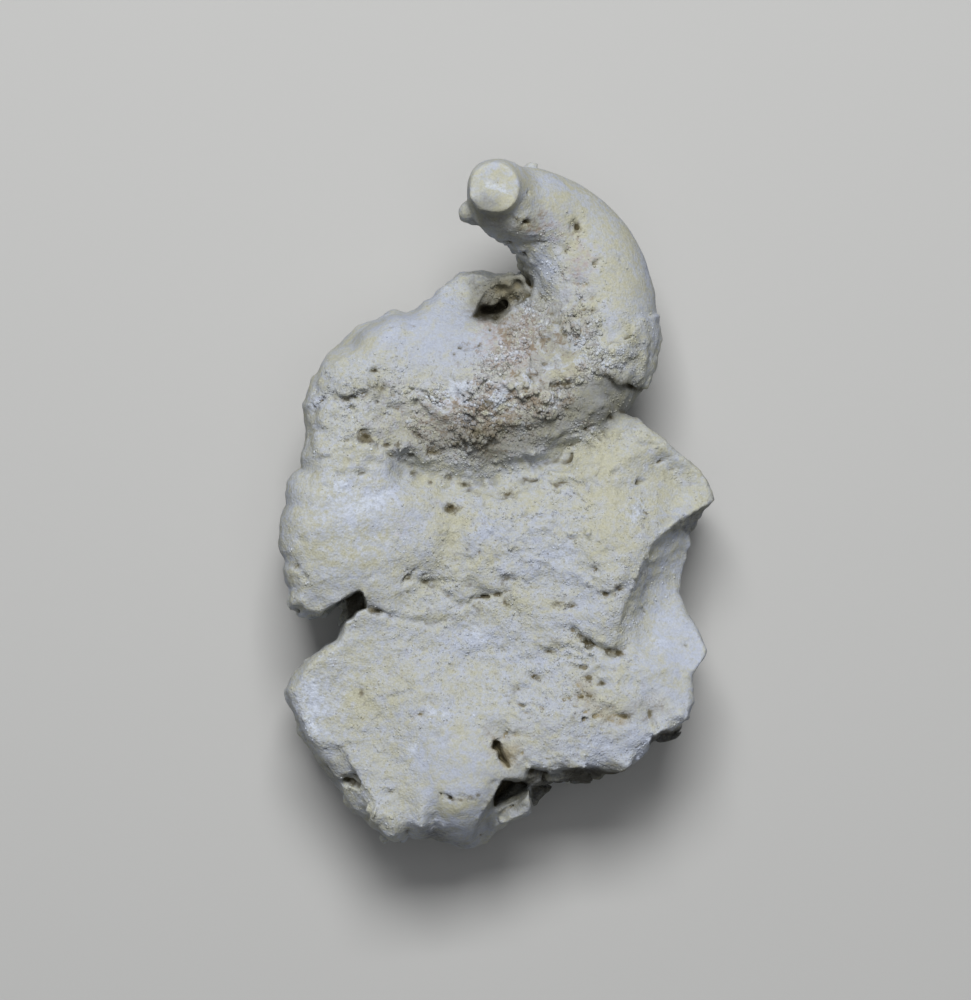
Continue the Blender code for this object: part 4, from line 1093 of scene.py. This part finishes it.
# ------------------------------------------------------------------ the material
class Graph:
    """Small helper that writes node graphs as expressions."""

    def __init__(self, name):
        self.mat = bpy.data.materials.new(name)
        self.mat.use_nodes = True
        self.t = self.mat.node_tree
        self.shader = self.t.nodes["Principled BSDF"]

    def plug(self, socket, value):
        if hasattr(value, "is_linked"):
            self.t.links.new(value, socket)
        elif isinstance(value, (tuple, list)) and len(value) == 3 and socket.type == 'RGBA':
            socket.default_value = (*value, 1.0)
        else:
            socket.default_value = value

    def maths(self, op, *values, clamp=False):
        n = self.t.nodes.new("ShaderNodeMath")
        n.operation = op
        n.use_clamp = clamp
        for i, x in enumerate(values):
            self.plug(n.inputs[i], x)
        return n.outputs[0]

    def add(self, a, b):
        return self.maths('ADD', a, b)

    def mul(self, a, b):
        return self.maths('MULTIPLY', a, b)

    def ramp(self, x, low, high, to_low=0.0, to_high=1.0):
        n = self.t.nodes.new("ShaderNodeMapRange")
        n.interpolation_type = 'SMOOTHSTEP'
        self.plug(n.inputs["Value"], x)
        for key, val in (("From Min", low), ("From Max", high), ("To Min", to_low), ("To Max", to_high)):
            n.inputs[key].default_value = val
        return n.outputs["Result"]

    def mix(self, fac, a, b, how='MIX'):
        n = self.t.nodes.new("ShaderNodeMix")
        n.data_type = 'RGBA'
        n.blend_type = how
        n.clamp_factor = True
        self.plug(n.inputs[0], fac)
        self.plug(n.inputs[6], a)
        self.plug(n.inputs[7], b)
        return n.outputs[2]

    def attr(self, name):
        n = self.t.nodes.new("ShaderNodeAttribute")
        n.attribute_type = 'GEOMETRY'
        n.attribute_name = name
        return n.outputs["Fac"]

    def place(self, stretch=(1, 1, 1)):
        c = self.t.nodes.new("ShaderNodeTexCoord").outputs["Object"]
        if stretch == (1, 1, 1):
            return c
        n = self.t.nodes.new("ShaderNodeMapping")
        n.inputs["Scale"].default_value = stretch
        self.t.links.new(c, n.inputs["Vector"])
        return n.outputs["Vector"]

    def noise(self, size_mm, detail=3.0, rough=0.55, warp=0.0, where=None):
        n = self.t.nodes.new("ShaderNodeTexNoise")
        n.inputs["Scale"].default_value = 1000.0 / size_mm
        n.inputs["Detail"].default_value = detail
        n.inputs["Roughness"].default_value = rough
        n.inputs["Distortion"].default_value = warp
        self.t.links.new(where if where is not None else self.place(), n.inputs["Vector"])
        return n.outputs["Fac"]

    def cells(self, size_mm, feature='F1', where=None):
        n = self.t.nodes.new("ShaderNodeTexVoronoi")
        n.feature = feature
        n.inputs["Scale"].default_value = 1000.0 / size_mm
        self.t.links.new(where if where is not None else self.place(), n.inputs["Vector"])
        return n


def srgb(r, g, b):
    return tuple(((c / 255 + 0.055) / 1.055) ** 2.4 if c > 10 else c / 255 / 12.92 for c in (r, g, b))


def limestone(name, relief=1.0):
    g = Graph(name)
    cool, white, ochre, rust, pink, spot = (g.attr(n) for n in ("cool", "white", "ochre", "rust", "pink", "spot"))
    grime_and_shade, polish, sugar = g.attr("grime_and_shade"), g.attr("polish"), g.attr("sugar")
    dip, hollow, tint = g.attr("dip"), g.attr("hollow"), g.attr("tint")
    big, mid, small = g.noise(7.0, 4, 0.6, 0.3), g.noise(1.7, 5, 0.74, 0.8), g.noise(0.8, 4, 0.62)
    clump, chip, patch = g.noise(2.3, 4, 0.6, 0.6), g.noise(1.7, 4, 0.6, 0.6), g.noise(3.4, 3, 0.6, 0.6)
    fine = g.noise(0.34, 2, 0.6)
    # cream and lavender-grey mottling
    c = g.add(g.add(g.mul(cool, 0.42), g.mul(sugar, -0.05)), g.add(g.ramp(big, 0.3, 0.7, -0.17, 0.19), g.ramp(mid, 0.25, 0.75, -0.46, 0.46)))
    c = g.add(c, g.ramp(small, 0.25, 0.75, -0.20, 0.20))
    c = g.add(c, g.mul(polish, g.ramp(patch, 0.34, 0.66, -0.24, 0.22)))
    colour = g.mix(g.ramp(c, -0.70, 0.72), srgb(184, 183, 163), srgb(174, 181, 196))
    # warm stain in hollows and in marked patches
    warm = g.add(g.mul(ochre, 0.60), g.add(g.ramp(dip, 0.03, 0.20, 0, 0.7), g.ramp(mid, 0.35, 0.75, -0.25, 0.35)))
    warm = g.add(warm, g.ramp(small, 0.3, 0.7, -0.18, 0.18))
    colour = g.mix(g.ramp(warm, 0.25, 1.25, 0, 0.8), colour, srgb(150, 136, 94))
    sand = g.add(g.mul(sugar, 0.50), g.add(g.ramp(mid, 0.3, 0.7, -0.3, 0.3), g.mul(tint, -0.15)))
    colour = g.mix(g.ramp(sand, 0.1, 0.9, 0, 0.50), colour, srgb(163, 157, 147))
    light = g.add(g.mul(white, 0.8), g.add(g.ramp(small, 0.3, 0.75, -0.25, 0.42), g.mul(tint, 0.16)))
    light = g.add(light, g.mul(sugar, g.ramp(clump, 0.42, 0.64, -0.25, 0.80)))
    colour = g.mix(g.ramp(light, 0.2, 1.0, 0, 0.75), colour, srgb(200, 208, 222))
    rosy = g.add(g.mul(pink, 0.7), g.add(g.ramp(small, 0.3, 0.7, -0.4, 0.4), g.mul(tint, -0.12)))
    colour = g.mix(g.ramp(rosy, 0.2, 1.0, 0, 0.55), colour, srgb(164, 142, 130))
    rusty = g.add(g.mul(rust, 0.8), g.add(g.ramp(small, 0.3, 0.7, -0.3, 0.3), g.mul(sugar, g.mul(tint, 0.16))))
    rusty = g.add(rusty, g.mul(sugar, g.ramp(chip, 0.40, 0.64, -0.30, 0.70)))
    colour = g.mix(g.ramp(rusty, 0.25, 1.05, 0, 0.74), colour, srgb(136, 118, 92))
    # brown pit stains and specks, plus painted shadow lines under the overhanging edges
    dark = g.add(spot, g.ramp(small, 0.3, 0.7, -0.3, 0.3))
    colour = g.mix(g.ramp(dark, 0.15, 1.05, 0, 0.84), colour, srgb(97, 88, 62))
    # dirt, and painted shade on undersides and in recesses
    dirt_and_shade = g.add(grime_and_shade, g.ramp(small, 0.3, 0.7, -0.2, 0.2))
    colour = g.mix(g.ramp(dirt_and_shade, 0.05, 1.35, 0, 0.66), colour, srgb(106, 104, 90))
    # partly stain, partly painted shade: the more enclosed a point, the darker olive-brown it gets
    deep = g.mul(g.ramp(g.add(hollow, g.mul(dip, 0.8)), 0.10, 0.42, 0, 0.85), g.ramp(sugar, 0.2, 0.8, 1.0, 0.72))
    colour = g.mix(deep, colour, srgb(62, 56, 36))
    # painted shade: the shade map darkens undersides and recesses to near-black brown
    shade = g.add(g.attr("shade"), g.ramp(small, 0.3, 0.7, -0.12, 0.12))
    colour = g.mix(g.ramp(shade, 0.10, 1.0, 0, 0.88), colour, srgb(50, 47, 36))
    tone = g.add(g.ramp(small, 0.25, 0.75, 0.925, 1.03), g.ramp(fine, 0.25, 0.75, -0.07, 0.07))
    tone = g.add(tone, g.ramp(c, -0.6, 0.7, -0.035, 0.030))
    # painted light: the least enclosed crests and edges are made up to 7% brighter
    tone = g.add(tone, g.ramp(dip, -0.22, 0.05, 0.07, 0.0))
    tone = g.add(tone, g.mul(tint, g.ramp(sugar, 0.0, 0.8, 0.05, 0.10)))
    n = g.t.nodes.new("ShaderNodeVectorMath")
    n.operation = 'SCALE'
    g.t.links.new(colour, n.inputs[0])
    g.t.links.new(tone, n.inputs["Scale"])
    speck = g.ramp(g.noise(0.62, 2, 0.5), 0.60, 0.74, 0, 0.45)
    speck = g.mul(speck, g.ramp(polish, 0.0, 1.0, 1.0, 0.25))
    colour = g.mix(speck, n.outputs[0], srgb(120, 110, 88))
    g.plug(g.shader.inputs["Base Color"], colour)
    g.plug(g.shader.inputs["Roughness"], g.ramp(g.add(g.mul(polish, 0.6), small), 0.3, 1.3, 0.97, 0.74))
    g.shader.inputs["Specular IOR Level"].default_value = 0.25
    # fine relief below the mesh's own
    rough = g.add(g.mul(g.noise(0.5, 3, 0.6), 1.0), g.mul(g.cells(0.42).outputs["Distance"], 0.8))
    rough = g.add(rough, g.mul(g.noise(1.3, 3, 0.55), 1.4))
    size = g.ramp(g.add(g.mul(polish, -1.0), g.mul(sugar, 0.6)), -1.0, 0.6, 0.42 * relief, 0.8 * relief)
    bump = g.t.nodes.new("ShaderNodeBump")
    bump.inputs["Distance"].default_value = 0.00018
    g.t.links.new(size, bump.inputs["Strength"])
    g.t.links.new(rough, bump.inputs["Height"])
    g.t.links.new(bump.outputs["Normal"], g.shader.inputs["Normal"])
    return g.mat


mesh.materials.clear()
mesh.materials.append(limestone("limestone"))
grain_finish = limestone("limestone_grains", 0.35)
for piece in (crystals, crumbs):
    piece.data.materials.append(grain_finish)
    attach(piece, "root")

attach(rock, "root")
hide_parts("rudist_in_matrix")

# ---------------------------------------------------------------- stage, camera
bpy.ops.mesh.primitive_plane_add(size=4.0)
floor = bpy.context.object
floor.name = "floor"
fm = bpy.data.materials.new("floor_pale")
fm.use_nodes = True
fm.node_tree.nodes["Principled BSDF"].inputs["Base Color"].default_value = (0.50, 0.50, 0.49, 1)
fm.node_tree.nodes["Principled BSDF"].inputs["Roughness"].default_value = 0.8
floor.data.materials.append(fm)

cam = bpy.data.cameras.new("camera")
cam.sensor_width = 36.0
cam.lens = 36.0 * (CAM_HEIGHT - REF_HEIGHT) / (1000 * U)
camera = bpy.data.objects.new("camera", cam)
bpy.context.scene.collection.objects.link(camera)
ac, bc = at(CX, CY)
camera.location = ((ac + SHIFT[0]) * 0.001, (bc + SHIFT[1]) * 0.001, (CAM_HEIGHT + SHIFT[2]) * 0.001)
camera.rotation_euler = (0, 0, 0)
bpy.context.scene.camera = camera


def area(name, place, aim, size, power, colour=(1, 1, 1)):
    light = bpy.data.lights.new(name, 'AREA')
    light.shape = 'RECTANGLE'
    light.size, light.size_y = size
    light.energy = power
    light.color = colour
    o = bpy.data.objects.new(name, light)
    bpy.context.scene.collection.objects.link(o)
    o.location = place
    from mathutils import Vector
    o.rotation_euler = (Vector(aim) - Vector(place)).to_track_quat('-Z', 'Y').to_euler()
    return o


area("key_soft", (-0.03, 0.42, 0.85), (0, 0, 0.02), (0.40, 0.30), 8.2)
area("fill_soft", (0.05, 0.0, 1.0), (0, 0, 0.02), (0.6, 0.6), 1.4)
world_ = bpy.data.worlds.new("world")
world_.use_nodes = True
world_.node_tree.nodes["Background"].inputs["Color"].default_value = (0.9, 0.93, 1.0, 1)
world_.node_tree.nodes["Background"].inputs["Strength"].default_value = 0.10
bpy.context.scene.world = world_
bpy.context.scene.view_settings.view_transform = 'Standard'
